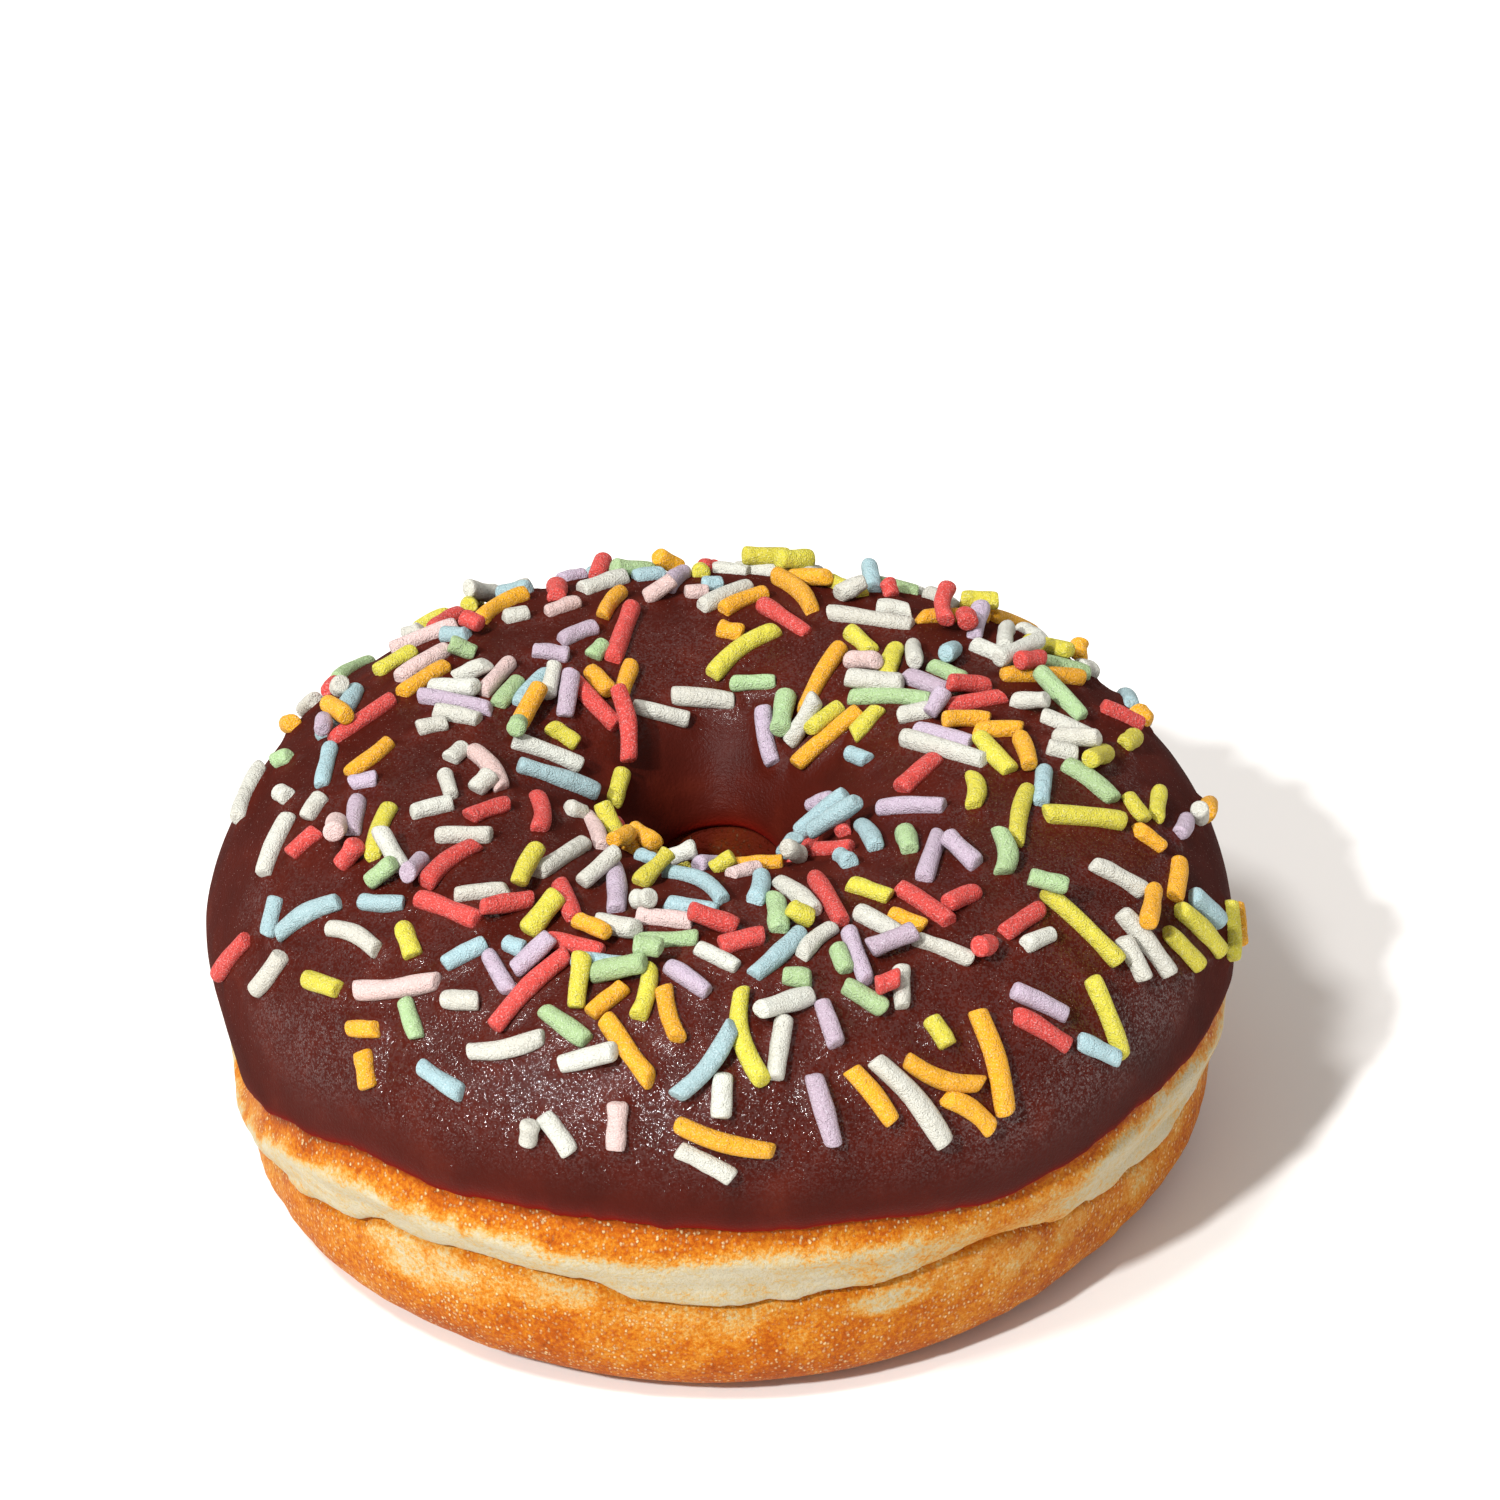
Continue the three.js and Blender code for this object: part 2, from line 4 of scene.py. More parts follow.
import bpy
import numpy as np
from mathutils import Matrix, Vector


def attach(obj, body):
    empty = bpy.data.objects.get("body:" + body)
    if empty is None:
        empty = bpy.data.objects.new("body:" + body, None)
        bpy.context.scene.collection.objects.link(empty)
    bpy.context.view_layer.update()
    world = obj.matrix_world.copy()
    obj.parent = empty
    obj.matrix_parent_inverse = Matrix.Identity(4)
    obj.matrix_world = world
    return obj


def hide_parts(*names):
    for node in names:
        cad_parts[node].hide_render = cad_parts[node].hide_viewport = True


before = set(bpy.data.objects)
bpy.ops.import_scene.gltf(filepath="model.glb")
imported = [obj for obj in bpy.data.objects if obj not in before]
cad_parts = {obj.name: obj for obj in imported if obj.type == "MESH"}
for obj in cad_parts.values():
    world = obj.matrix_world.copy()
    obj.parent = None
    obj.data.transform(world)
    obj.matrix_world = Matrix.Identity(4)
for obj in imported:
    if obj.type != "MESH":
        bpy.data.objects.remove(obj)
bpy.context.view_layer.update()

# ======== The dough ring ========
# A ring of yeast dough, proved until it is mostly air and then fried floating in oil, first on one side
# and then on the other. The band half way up never touched the oil, so it stayed pale and stretched
# into a soft fold over the lower half. Sizes are in millimetres, as the dough was shaped.

# The half section: four quarters of superellipses that meet at crest, widest point, bottom and throat.
CREST_RADIUS = 26
OUTER_RADIUS = 47.5
THROAT_RADIUS = 6.3
CREST_HEIGHT = 40.4
WIDEST_HEIGHT = 21
THROAT_HEIGHT = 24
BOTTOM_PRESSED_FLAT = 0.35
POWER_TOP_OUTSIDE = 2.05
POWER_BOTTOM_OUTSIDE = 4.2
POWER_TOP_INSIDE = 2.2
POWER_BOTTOM_INSIDE = 2.6
SECTION_SAMPLES = 2400
NORMAL_REACH = 0.3

# Waves round the ring, height, turn, and arc for one radian of slant.
UNEVENNESS = [(2, 0.32, 0.6, 60), (3, 0.24, 5.24, 22), (5, 0.16, 1.26, 15)]
EVEN_BELOW = 0.5
UNEVEN_ABOVE = 6

# Shallow dents that the tray and the neighbours left in the outside: angle, height, depth, and half
# the dent's angle and height.
DENTS = [(-172, 13, 2.6, 15, 6), (-120, 6, 0.5, 25, 8), (-50, 5, 1.8, 26, 10), (-30, 12, 1.2, 16, 10)]
DENTS_FROM_RADIUS = 26
DENTS_FULL_RADIUS = 40

# Heights round the ring, as (angle in degrees, height).
BAND_TOP = [
    (-168, 9.6), (-157, 11.8), (-144, 16.4), (-133, 18.6), (-120, 18.9), (-106, 18.2), (-88, 18.9),
    (-57, 18.6), (-45, 18.4), (-29, 19.4), (-12, 17.6), (30, 18.4), (80, 19.2), (125, 18.2), (165, 11),
]
CREASE = [
    (-168, 7.2), (-157, 8.8), (-148, 10.5), (-137, 11.8), (-130, 14.2), (-119, 15), (-105, 14.8),
    (-98, 12.8), (-90, 12.5), (-73, 12.7), (-57, 14.4), (-46, 12.5), (-36, 11.2), (-26, 10.2),
    (-14, 11.6), (8, 13.8), (34, 12.4), (62, 13.8), (84, 15.2), (103, 12.8), (128, 13.4), (150, 11),
    (172, 7.4),
]
LOWER_HALF_NARROWER = 1.9
CREASE_DEPTH = 1.2
CREASE_HALF_HEIGHT = 0.75
LIP_ABOVE_CREASE = 1.5
LIP_BULGE = 0.45
LIP_OVERHANG = 0.75
LIP_OVERHANG_HEIGHT = 0.9
LIP_OVERHANG_HALF_HEIGHT = 0.8
PALE_FROM_CREASE = (-0.1, 0.4)
PALE_TO_BAND_TOP = (-0.9, 1.5)

# The frosting's edges, which the dough's bed follows.
FROSTING_EDGE = [
    (-176, 13), (-168, 13.2), (-160, 15), (-152, 17.2), (-143, 19.6), (-132, 22), (-102, 22.8),
    (-76, 21.6), (-58, 20.2), (-34, 21.3), (-18, 20.5), (-6, 18.8), (20, 20.4), (55, 20.9), (90, 22.3),
    (120, 20.6), (148, 16.4),
]
HOLE_EDGE = [(-150, 27.2), (-70, 28.2), (10, 27.2), (70, 28.4), (130, 27.4)]
FROSTING_THICKNESS = 1.25
EDGE_THICKNESS = 0.45
EDGE_ROUNDING = 0.3
EDGE_TAPER = 4
EDGE_TAPER_IN_HOLE = 2
CLEARANCE = 0.36

# Finer relief of the fried skin. Each layer of noise is its cell, its height and its seed.
CREASE_RAGS = [(2.4, 0.33, 3), (0.9, 0.165, 4)]
CREASE_DEPTH_VARIES = [(7, 0.45, 5)]
BAND_TOP_RAGS = [(1.6, 0.7, 6), (0.6, 0.35, 7)]
RAGS_DRAWN_UP = [1, 1, 0.2]
CRUST_LUMPS = [(7.0, 0.16, 11), (2.6, 0.09, 11), (1.1, 0.045, 11)]
LUMPS_LOST_WHERE_PALE = 0.45
OPEN_AIR_BEYOND_FROSTING = 1
OPEN_AIR_ABOVE = 3
WRINKLE_LENGTH = 5.0
WRINKLE_SPACING = 0.75
WRINKLE_DEPTH = 0.17
WRINKLE_SEED = 22
WRINKLE_WAVES = [(4, 0.8, 21)]

# How the noise is drawn: a random value for each corner of a lattice of cubes.
LATTICE_STRIDES = np.array([73856093, 19349663, 83492791])
SEED_STRIDE = 40503
SCRAMBLING = [(15, 2246822519), (13, 3266489917)]
WORD = 0xFFFFFFFF
HALF_OF_24_BITS = 0x7FFFFF

DOUGH_STEPS_ROUND = 760
DOUGH_ROWS_UNDER_FROSTING = 10
DOUGH_ROWS_ON_SIDE = 84
DOUGH_ROWS_UNDERNEATH = 10
DOUGH_ROWS_UP_HOLE = 20
MILLIMETRE = 0.001


def trace_section():
    """r = r0 + a |cos t|^(2/p) and z = z0 + b |sin t|^(2/p) with the signs kept, for t from pi to -pi:
    throat, crest, widest point, bottom, throat. Returns the arc run so far, r and z."""
    turn = math.pi * (1 - 2 * np.arange(SECTION_SAMPLES + 1) / SECTION_SAMPLES)
    across, up = np.cos(turn), np.sin(turn)
    outside, top = across >= 0, up >= 0
    power = 2 / np.where(
        outside,
        np.where(top, POWER_TOP_OUTSIDE, POWER_BOTTOM_OUTSIDE),
        np.where(top, POWER_TOP_INSIDE, POWER_BOTTOM_INSIDE),
    )
    centre = np.where(outside, WIDEST_HEIGHT, THROAT_HEIGHT)
    half_width = np.where(outside, OUTER_RADIUS - CREST_RADIUS, CREST_RADIUS - THROAT_RADIUS)
    half_height = np.where(top, CREST_HEIGHT - centre, centre + BOTTOM_PRESSED_FLAT)
    r = CREST_RADIUS + half_width * np.sign(across) * np.abs(across) ** power
    z = np.maximum(0, centre + half_height * np.sign(up) * np.abs(up) ** power)
    arc = np.concatenate([[0], np.cumsum(np.hypot(np.diff(r), np.diff(z)))])
    return arc, r, z


SECTION_ARC, SECTION_R, SECTION_Z = trace_section()
LOOP_LENGTH = SECTION_ARC[-1]
CREST = int(np.argmax(SECTION_Z))
BOTTOM = int(np.argmax((SECTION_Z == 0) & (SECTION_R > CREST_RADIUS)))


def section_point(arc):
    """r and z of the half section at an arc, by straight lines between its samples."""
    along = np.mod(arc, LOOP_LENGTH)
    return np.interp(along, SECTION_ARC, SECTION_R), np.interp(along, SECTION_ARC, SECTION_Z)


def section_normal(arc):
    """Outward direction: the chord between two points close by, turned a quarter."""
    r0, z0 = section_point(arc - NORMAL_REACH)
    r1, z1 = section_point(arc + NORMAL_REACH)
    length = np.hypot(r1 - r0, z1 - z0)
    return -(z1 - z0) / length, (r1 - r0) / length


def arc_at_height(height, in_hole=False):
    """The arc at which the outside comes down to a height, or the hole above its throat up to it."""
    if in_hole:
        return np.interp(height, SECTION_Z[:CREST], SECTION_ARC[:CREST])
    return np.interp(-height, -SECTION_Z[CREST : BOTTOM + 1], SECTION_ARC[CREST : BOTTOM + 1])


def ease(value, start, end):
    """0 before start, 1 after end, 3t^2 - 2t^3 between."""
    t = np.clip((value - start) / (end - start), 0, 1)
    return t * t * (3 - 2 * t)


def bell(distance, half_width):
    """exp(-(distance / half width)^2)."""
    return np.exp(-((distance / half_width) ** 2))


def whole_turn(steps):
    """Angles spaced evenly over a whole turn."""
    return 2 * np.pi * np.arange(steps) / steps


def degrees_from(angle, named):
    """How far each angle is from a named one, from -180 to 180 degrees."""
    return np.mod(np.degrees(angle) - named + 180, 360) - 180


def round_the_ring(heights, angle):
    """A height at an angle, eased from each named angle to the next, all the way round."""
    knots = np.array(heights + [(heights[0][0] + 360, heights[0][1])], float)
    degrees = np.mod(np.degrees(angle) - knots[0, 0], 360) + knots[0, 0]
    i = np.clip(np.searchsorted(knots[:, 0], degrees, side="right") - 1, 0, len(heights) - 1)
    return knots[i, 1] + (knots[i + 1, 1] - knots[i, 1]) * ease(degrees, knots[i, 0], knots[i + 1, 0])


def unevenness(arc, angle):
    """Sum of slanting sine waves round the ring, dying away at the flat bottom."""
    waves = sum(h * np.sin(n * angle + turn + arc / slant) for n, h, turn, slant in UNEVENNESS)
    return waves * ease(section_point(arc)[1], EVEN_BELOW, UNEVEN_ABOVE)


def frosting_edges(angle):
    """The frosting's two edges at an angle, as arcs: in the hole and on the outside."""
    hole = arc_at_height(round_the_ring(HOLE_EDGE, angle), in_hole=True)
    return hole, arc_at_height(round_the_ring(FROSTING_EDGE, angle))


def frosting_thickness(inside):
    """From the edge's thickness to the full one, over the taper; inside is the distance from the edge."""
    return EDGE_THICKNESS + (FROSTING_THICKNESS - EDGE_THICKNESS) * ease(inside, 0, EDGE_TAPER)


def edge_rounding(inside):
    """How far the frosting sinks toward its edge: not at all from half the taper inward."""
    return EDGE_ROUNDING * (1 - ease(inside, 0, EDGE_TAPER / 2))


def smooth_noise(points, cell, seed):
    """Value noise from -1 to 1: random values on a lattice of cubes, eased between the eight corners."""
    at = points / cell
    low = np.floor(at).astype(np.int64)
    t = at - low
    t = t * t * (3 - 2 * t)
    total = np.zeros(points.shape[:-1])
    for corner in np.ndindex(2, 2, 2):
        mixed = (low + np.array(corner)) @ LATTICE_STRIDES + seed * SEED_STRIDE
        for shift, factor in SCRAMBLING:
            mixed = (mixed ^ (mixed >> shift)) * factor & WORD
        value = (mixed >> 8) / HALF_OF_24_BITS - 1
        total += value * np.prod(np.where(corner, t, 1 - t), axis=-1)
    return total


def layered_noise(points, layers):
    """The sum of layers of value noise, each times its height."""
    return sum(height * smooth_noise(points, cell, seed) for cell, height, seed in layers)


def dented(radius, height, angle):
    """How far the dents move a point in toward the middle: a sum of bell curves over angle and height."""
    inward = 0
    for dent_angle, dent_height, depth, half_angle, half_height in DENTS:
        across = bell(degrees_from(angle, dent_angle), half_angle)
        inward += depth * across * bell(height - dent_height, half_height)
    return inward * ease(radius, DENTS_FROM_RADIUS, DENTS_FULL_RADIUS)


def on_ring(arc, angle, rise):
    """Points in space that lie a rise out from the section at each arc and angle."""
    r, z = section_point(arc)
    nr, nz = section_normal(arc)
    out = r + nr * rise
    height = np.where(z > 0, np.maximum(0, z + nz * rise), 0)
    out = out - dented(out, height, angle)
    return np.stack([out * np.cos(angle), out * np.sin(angle), height], axis=-1)


def dough_surface(arc, angle):
    """The section moved out by the unevenness, in by the frosting's bed, the band's taper and the
    crease, and out by the lip, which also slides down over the crease; then lumps and wrinkles."""
    hole, outside = frosting_edges(angle)
    arc = np.where(LOOP_LENGTH - arc < arc - outside, arc - LOOP_LENGTH, arc)
    r, z = section_point(arc)
    beyond = np.maximum(hole - arc, arc - outside)
    bed = frosting_thickness(-beyond) + CLEARANCE + edge_rounding(-beyond)
    taper = np.where(r < CREST_RADIUS, EDGE_TAPER_IN_HOLE, EDGE_TAPER)
    rise = unevenness(arc, angle) - bed * (1 - ease(beyond, 0, taper))

    place = on_ring(arc, angle, 0)
    side = (r > CREST_RADIUS) & (beyond > 0)
    crease = round_the_ring(CREASE, angle) + layered_noise(place * RAGS_DRAWN_UP, CREASE_RAGS)
    band = round_the_ring(BAND_TOP, angle)
    above = z - crease
    depth = 1 + layered_noise(place * [1, 1, 0], CREASE_DEPTH_VARIES)
    narrower = LOWER_HALF_NARROWER * (1 - ease(z, crease, band)) * ease(z, EVEN_BELOW, crease)
    groove = CREASE_DEPTH * depth * bell(above, CREASE_HALF_HEIGHT)
    lip = LIP_BULGE * depth * bell(above - LIP_ABOVE_CREASE, LIP_ABOVE_CREASE)
    rise += np.where(side, lip - narrower - groove, 0)
    overhang = LIP_OVERHANG * depth * bell(above - LIP_OVERHANG_HEIGHT, LIP_OVERHANG_HALF_HEIGHT)
    slide = np.where(side, overhang, 0)

    over_band = z - band - layered_noise(place, BAND_TOP_RAGS)
    pale = ease(above, *PALE_FROM_CREASE) * (1 - ease(over_band, *PALE_TO_BAND_TOP)) * side
    open_air = ease(beyond, 0, OPEN_AIR_BEYOND_FROSTING) * ease(z, EVEN_BELOW, OPEN_AIR_ABOVE)
    rise += layered_noise(place, CRUST_LUMPS) * open_air * (1 - LUMPS_LOST_WHERE_PALE * pale)
    along = np.stack([np.cos(angle), np.sin(angle)], -1) * OUTER_RADIUS / WRINKLE_LENGTH
    wavy = (z + layered_noise(place, WRINKLE_WAVES)) / WRINKLE_SPACING
    wrinkles = smooth_noise(np.concatenate([along, wavy[..., None]], -1), 1, WRINKLE_SEED)
    rise += WRINKLE_DEPTH * wrinkles * pale * open_air
    return on_ring(arc + slide, angle, rise), pale, crease, z, side, beyond


def add_piece(name, mesh, material):
    """A mesh with its material, as an object at the origin."""
    mesh.materials.append(material)
    piece = bpy.data.objects.new(name, mesh)
    bpy.context.scene.collection.objects.link(piece)
    return piece


def ring_mesh(name, points, attributes, material):
    """A closed ring from a grid of points: rows of loops, joined in both directions. Faces point out."""
    steps, rows = points.shape[:2]
    i, j = np.meshgrid(np.arange(steps), np.arange(rows), indexing="ij")
    i1, j1 = (i + 1) % steps, (j + 1) % rows
    quads = np.stack([i * rows + j, i1 * rows + j, i1 * rows + j1, i * rows + j1], -1).reshape(-1, 4)
    mesh = bpy.data.meshes.new(name)
    mesh.vertices.add(steps * rows)
    mesh.vertices.foreach_set("co", (points * MILLIMETRE).astype(np.float32).ravel())
    mesh.loops.add(quads.size)
    mesh.loops.foreach_set("vertex_index", quads.astype(np.int32).ravel())
    mesh.polygons.add(len(quads))
    mesh.polygons.foreach_set("loop_start", np.arange(0, quads.size, 4, dtype=np.int32))
    mesh.update(calc_edges=True)
    mesh.shade_smooth()
    for key, values in attributes.items():
        attribute = mesh.attributes.new(key, "FLOAT", "POINT")
        attribute.data.foreach_set("value", values.astype(np.float32).ravel())
    return add_piece(name, mesh, material)


def dough_arcs(angle):
    """The arcs of the dough's loop at each angle: few rows under the frosting and close ones outside."""
    hole, outside = frosting_edges(angle)
    flat = SECTION_ARC[SECTION_Z == 0]
    flat_start, flat_end = flat[0] + 0 * angle, flat[-1] + 0 * angle
    stretches = [
        (hole, outside, DOUGH_ROWS_UNDER_FROSTING),
        (outside, flat_start, DOUGH_ROWS_ON_SIDE),
        (flat_start, flat_end, DOUGH_ROWS_UNDERNEATH),
        (flat_end, hole + LOOP_LENGTH, DOUGH_ROWS_UP_HOLE),
    ]
    return np.concatenate([np.linspace(a, b, n, endpoint=False) for a, b, n in stretches]).T


def linear(hex_colour):
    """An sRGB colour such as "#d88c3b" as linear red, green, blue and alpha."""
    srgb = np.array([int(hex_colour[k : k + 2], 16) for k in (1, 3, 5)]) / 255
    low = srgb / 12.92
    high = ((srgb + 0.055) / 1.055) ** 2.4
    return (*np.where(srgb <= 0.04045, low, high).tolist(), 1.0)


def per_metre(millimetres):
    """The scale of a texture whose cells are this wide, on Object coordinates."""
    return 1000 / millimetres


def add_node(tree, kind, inputs=(), **settings):
    """Adds a shader node. Its inputs are numbers, colours, or what to link: a socket, or a node for its
    first output. The settings are the node's own. A mix of colours has them at inputs 6 and 7 and its
    share at 0, and its result at output 2."""
    made = tree.nodes.new("ShaderNode" + kind)
    for key, value in settings.items():
        setattr(made, key, value)
    for key, value in dict(inputs).items():
        source = value.outputs[0] if isinstance(value, bpy.types.Node) else value
        if isinstance(source, bpy.types.NodeSocket):
            tree.links.new(source, made.inputs[key])
        else:
            made.inputs[key].default_value = source
    return made


def start_material(name):
    """A new material with an empty node tree, the function that adds a node to it, and the Object
    coordinates for its patterns."""
    material = bpy.data.materials.new(name)
    material.use_nodes = True
    material.node_tree.nodes.clear()
    node = partial(add_node, material.node_tree)
    return material, node, node("TexCoord").outputs["Object"]


def colour_stops(ramp, stops):
    """Sets a colour ramp's stops from (place, sRGB hex) pairs."""
    elements = ramp.color_ramp.elements
    while len(elements) < len(stops):
        elements.new(1)
    for element, (place, colour) in zip(elements, stops):
        element.position = place
        element.color = linear(colour)


def fried_dough():
    """Fried yeast dough: a dry, finely pebbled skin of starch and oil, golden where it met the oil and
    cream where it did not, with small bright specks, partly pale blister and partly painted oily
    glints. Dark red-brown down the hole and along the frosting's edge, chocolate stain with painted
    shade. Matt, with a faint oily sheen. Its pebbles and specks are a few tenths of a millimetre wide,
    drawn as coarse as they need to be to show."""
    material, node, place = start_material("fried_yeast_dough")
    frying = node("Attribute", attribute_name="frying").outputs["Fac"]
    stain_and_shade = node("Attribute", attribute_name="stain_and_shade").outputs["Fac"]
    mottle = node("TexNoise", {"Vector": place, "Scale": per_metre(3.2), "Detail": 4.0, "Roughness": 0.6})
    grain = node("TexNoise", {"Vector": place, "Scale": per_metre(0.4), "Detail": 4.0, "Roughness": 0.7})
    mottled = node("Math", {0: mottle, 1: 0.62, 2: frying}, operation="MULTIPLY_ADD")
    grained = node("Math", {0: grain, 1: 0.85, 2: mottled}, operation="MULTIPLY_ADD")
    centred = node("Math", {0: grained, 1: 0.735}, operation="SUBTRACT")
    crust = node("ValToRGB", {"Fac": centred})
    colour_stops(crust, [
        (0.0, "#beb59b"), (0.17, "#bdab82"), (0.28, "#c89c56"), (0.38, "#c68634"),
        (0.48, "#c07418"), (0.66, "#aa520c"), (1.0, "#702c08"),
    ])
    drawn_out = node("Mapping", {"Vector": place, "Scale": (1.0, 1.0, 0.75)})
    # Bright specks: partly pale blister, partly painted oily glints.
    blister_and_glint_cells = node("TexVoronoi", {"Vector": drawn_out, "Scale": per_metre(0.36)})
    ragged = node("Math", {0: grain, 1: -1.3, 2: blister_and_glint_cells.outputs["Distance"]}, operation="MULTIPLY_ADD")
    bright = node(
        "MapRange", {"Value": ragged, "From Min": -0.55, "From Max": -0.22, "To Min": 1.0, "To Max": 0.0}
    )
    lot = node("SeparateColor", {"Color": blister_and_glint_cells.outputs["Color"]})
    blister_and_glint_patches = node("TexNoise", {"Vector": place, "Scale": per_metre(5.0)})
    odds = node("Math", {0: lot, 1: blister_and_glint_patches}, operation="ADD")
    chosen = node("MapRange", {"Value": odds, "From Min": 0.85, "From Max": 1.3, "To Max": 0.8})
    in_oil = node("MapRange", {"Value": frying, "From Min": 0.2, "From Max": 0.45, "To Min": 0.1})
    blister_and_glint_share = node("Math", {0: chosen, 1: in_oil}, operation="MULTIPLY")
    speck = node("Math", {0: bright, 1: blister_and_glint_share}, operation="MULTIPLY")
    speckled = node("Mix", {0: speck, 6: crust, 7: linear("#f4d8a0")}, data_type="RGBA")
    # Dark red-brown down the hole and along the frosting's outer edge: chocolate stain with painted
    # shade.
    stained = node("Mix", {0: stain_and_shade, 6: speckled.outputs[2], 7: linear("#4a1003")}, data_type="RGBA")
    pebbles = node("Bump", {"Strength": 0.7, "Distance": 0.00035, "Height": grain})
    skin = node("Bump", {"Strength": 0.5, "Distance": 0.0002, "Height": speck, "Normal": pebbles})
    shader = node(
        "BsdfPrincipled",
        {"Base Color": stained.outputs[2], "Roughness": 0.5, "IOR": 1.4, "Specular IOR Level": 0.08,
         "Subsurface Weight": 0.06, "Subsurface Radius": (0.002, 0.001, 0.0005), "Subsurface Scale": 0.4,
         "Normal": skin},
    )
    node("OutputMaterial", {"Surface": shader})
    return material


# How fried the skin is, from 0 for cream to 1 for dark brown, and where it differs.
FRIED_GOLDEN = 0.55
BROWNER_AT_BOTTOM = 0.10
BROWNING_UNDER_CREASE = (2, 13)
PALER_UNDER_LIP = 0.04
PALER_IN_PATCHES = 0.12
PALER_HALF_HEIGHT = 3.4
PATCHES = [(9, 1, 33)]
PATCHES_DRAWN_UP = [1, 1, 0.3]
PATCHES_FROM = (-0.35, 0.6)
SLOW_MOTTLE = [(9, 0.05, 31), (3.5, 0.045, 32)]
FRIED_CREAM = 0.07
CREAM_MOTTLE = [(2.2, 0.05, 34)]
CREAM_FLATTENED = [1, 1, 2]
# A dark line of painted shade in the crease, just below it.
PAINTED_SHADE_IN_CREASE = 0.28
SHADE_LINE_BELOW_CREASE = 0.15
SHADE_LINE_HALF_HEIGHT = 0.28
# Darker just under the frosting's edge: partly chocolate stain, partly painted shade.
SHADE_AND_STAIN_AT_FROSTING = 0.35
SHADE_AND_STAIN_AT_FROSTING_REACH = 0.7
HIDDEN_BED = 0.5
FRIED_UNDER_FROSTING = 0.6
FARTHEST = 20

# How pale the band is round the ring, as (angle, share): less pale in places.
BAND_PALENESS = [
    (-170, 1), (-79, 1), (-72, 0.62), (-60, 0.4), (-48, 0.5), (-40, 0.9), (-10, 0.9), (30, 0.6), (70, 1),
    (120, 0.7), (160, 1),
]
BAND_MOTTLE = [(3, 0.2, 35)]

# Pale places under the fold: angle, height, how pale, and half the place's angle and height.
PALE_PLACES = [
    (-125, 11.2, 0.26, 9, 3.0), (-110, 12.3, 0.26, 6, 1.9), (-93, 9.6, 0.05, 9, 2.6),
    (-70.5, 10.4, 0.30, 6, 1.4), (-53, 10.2, 0.17, 4, 2.0), (-44, 9.6, 0.15, 3, 2.0),
    (-30, 8.0, 0.12, 4, 2.0), (20, 11.0, 0.18, 9, 2.2), (75, 12.6, 0.24, 8, 2.2),
    (110, 10.4, 0.20, 6, 2.0), (150, 9.0, 0.22, 8, 2.2),
]
PLACE_RAGS = [(1.5, 0.35, 36), (0.6, 0.175, 37)]
PLACE_ENDS = 1.5
PLACE_FADES_OVER = 1.4

# Where chocolate ran down the hole and stained it, painted darker for the shade in the hole: radii
# and heights; and its dark line along the outer edge, partly stain and partly painted shade.
STAIN_AND_SHADE_RADII = (15, 20)
STAIN_AND_SHADE_HEIGHTS = (3, 8)
STAIN_AND_SHADE_RAGS = [(3, 1.5, 38)]
STAIN_AND_SHADE_FULL = 0.95
STAIN_AND_SHADE_MOTTLE = [(1.7, 0.12, 39)]
HAIRLINE = 0.85
HAIRLINE_REACH = 0.3


def how_fried(points, pale, crease, z, side, beyond, angle):
    """0 for cream and 1 for dark brown: golden above the band, paler just under the lip in patches,
    and browner down to the bottom, with slow mottling everywhere. A dark line of painted shade lies in
    the crease, and just under the frosting's edge it is darker, partly chocolate stain and partly
    painted shade."""
    patches = ease(layered_noise(points * PATCHES_DRAWN_UP, PATCHES), *PATCHES_FROM)
    below = np.clip(crease - z, 0, FARTHEST)
    golden = FRIED_GOLDEN + BROWNER_AT_BOTTOM * ease(below, *BROWNING_UNDER_CREASE)
    paler = (PALER_UNDER_LIP + PALER_IN_PATCHES * patches) * bell(below, PALER_HALF_HEIGHT)
    fried = golden + layered_noise(points, SLOW_MOTTLE) - paler * (z < crease)
    ragged = layered_noise(points, PLACE_RAGS)
    for pale_angle, pale_height, share, half_angle, half_height in PALE_PLACES:
        around = degrees_from(angle, pale_angle) / half_angle
        place = around**2 + ((z - pale_height) / half_height) ** 2
        fried -= share * ease(PLACE_ENDS - place + ragged, 0, PLACE_FADES_OVER) * side
    cream = FRIED_CREAM + layered_noise(points * CREAM_FLATTENED, CREAM_MOTTLE)
    paleness = round_the_ring(BAND_PALENESS, angle) + layered_noise(points, BAND_MOTTLE)
    pale = pale * np.clip(paleness, 0, 1)
    fried = fried * (1 - pale) + cream * pale
    # Painted shade: a dark line in the crease under the lip.
    fried += PAINTED_SHADE_IN_CREASE * bell(z - crease + SHADE_LINE_BELOW_CREASE, SHADE_LINE_HALF_HEIGHT) * side
    # Darker just under the frosting's edge: partly chocolate stain, partly painted shade.
    fried += SHADE_AND_STAIN_AT_FROSTING * np.exp(-np.clip(beyond, 0, FARTHEST) / SHADE_AND_STAIN_AT_FROSTING_REACH)
    return np.where(beyond > -HIDDEN_BED, np.clip(fried, 0, 1), FRIED_UNDER_FROSTING)


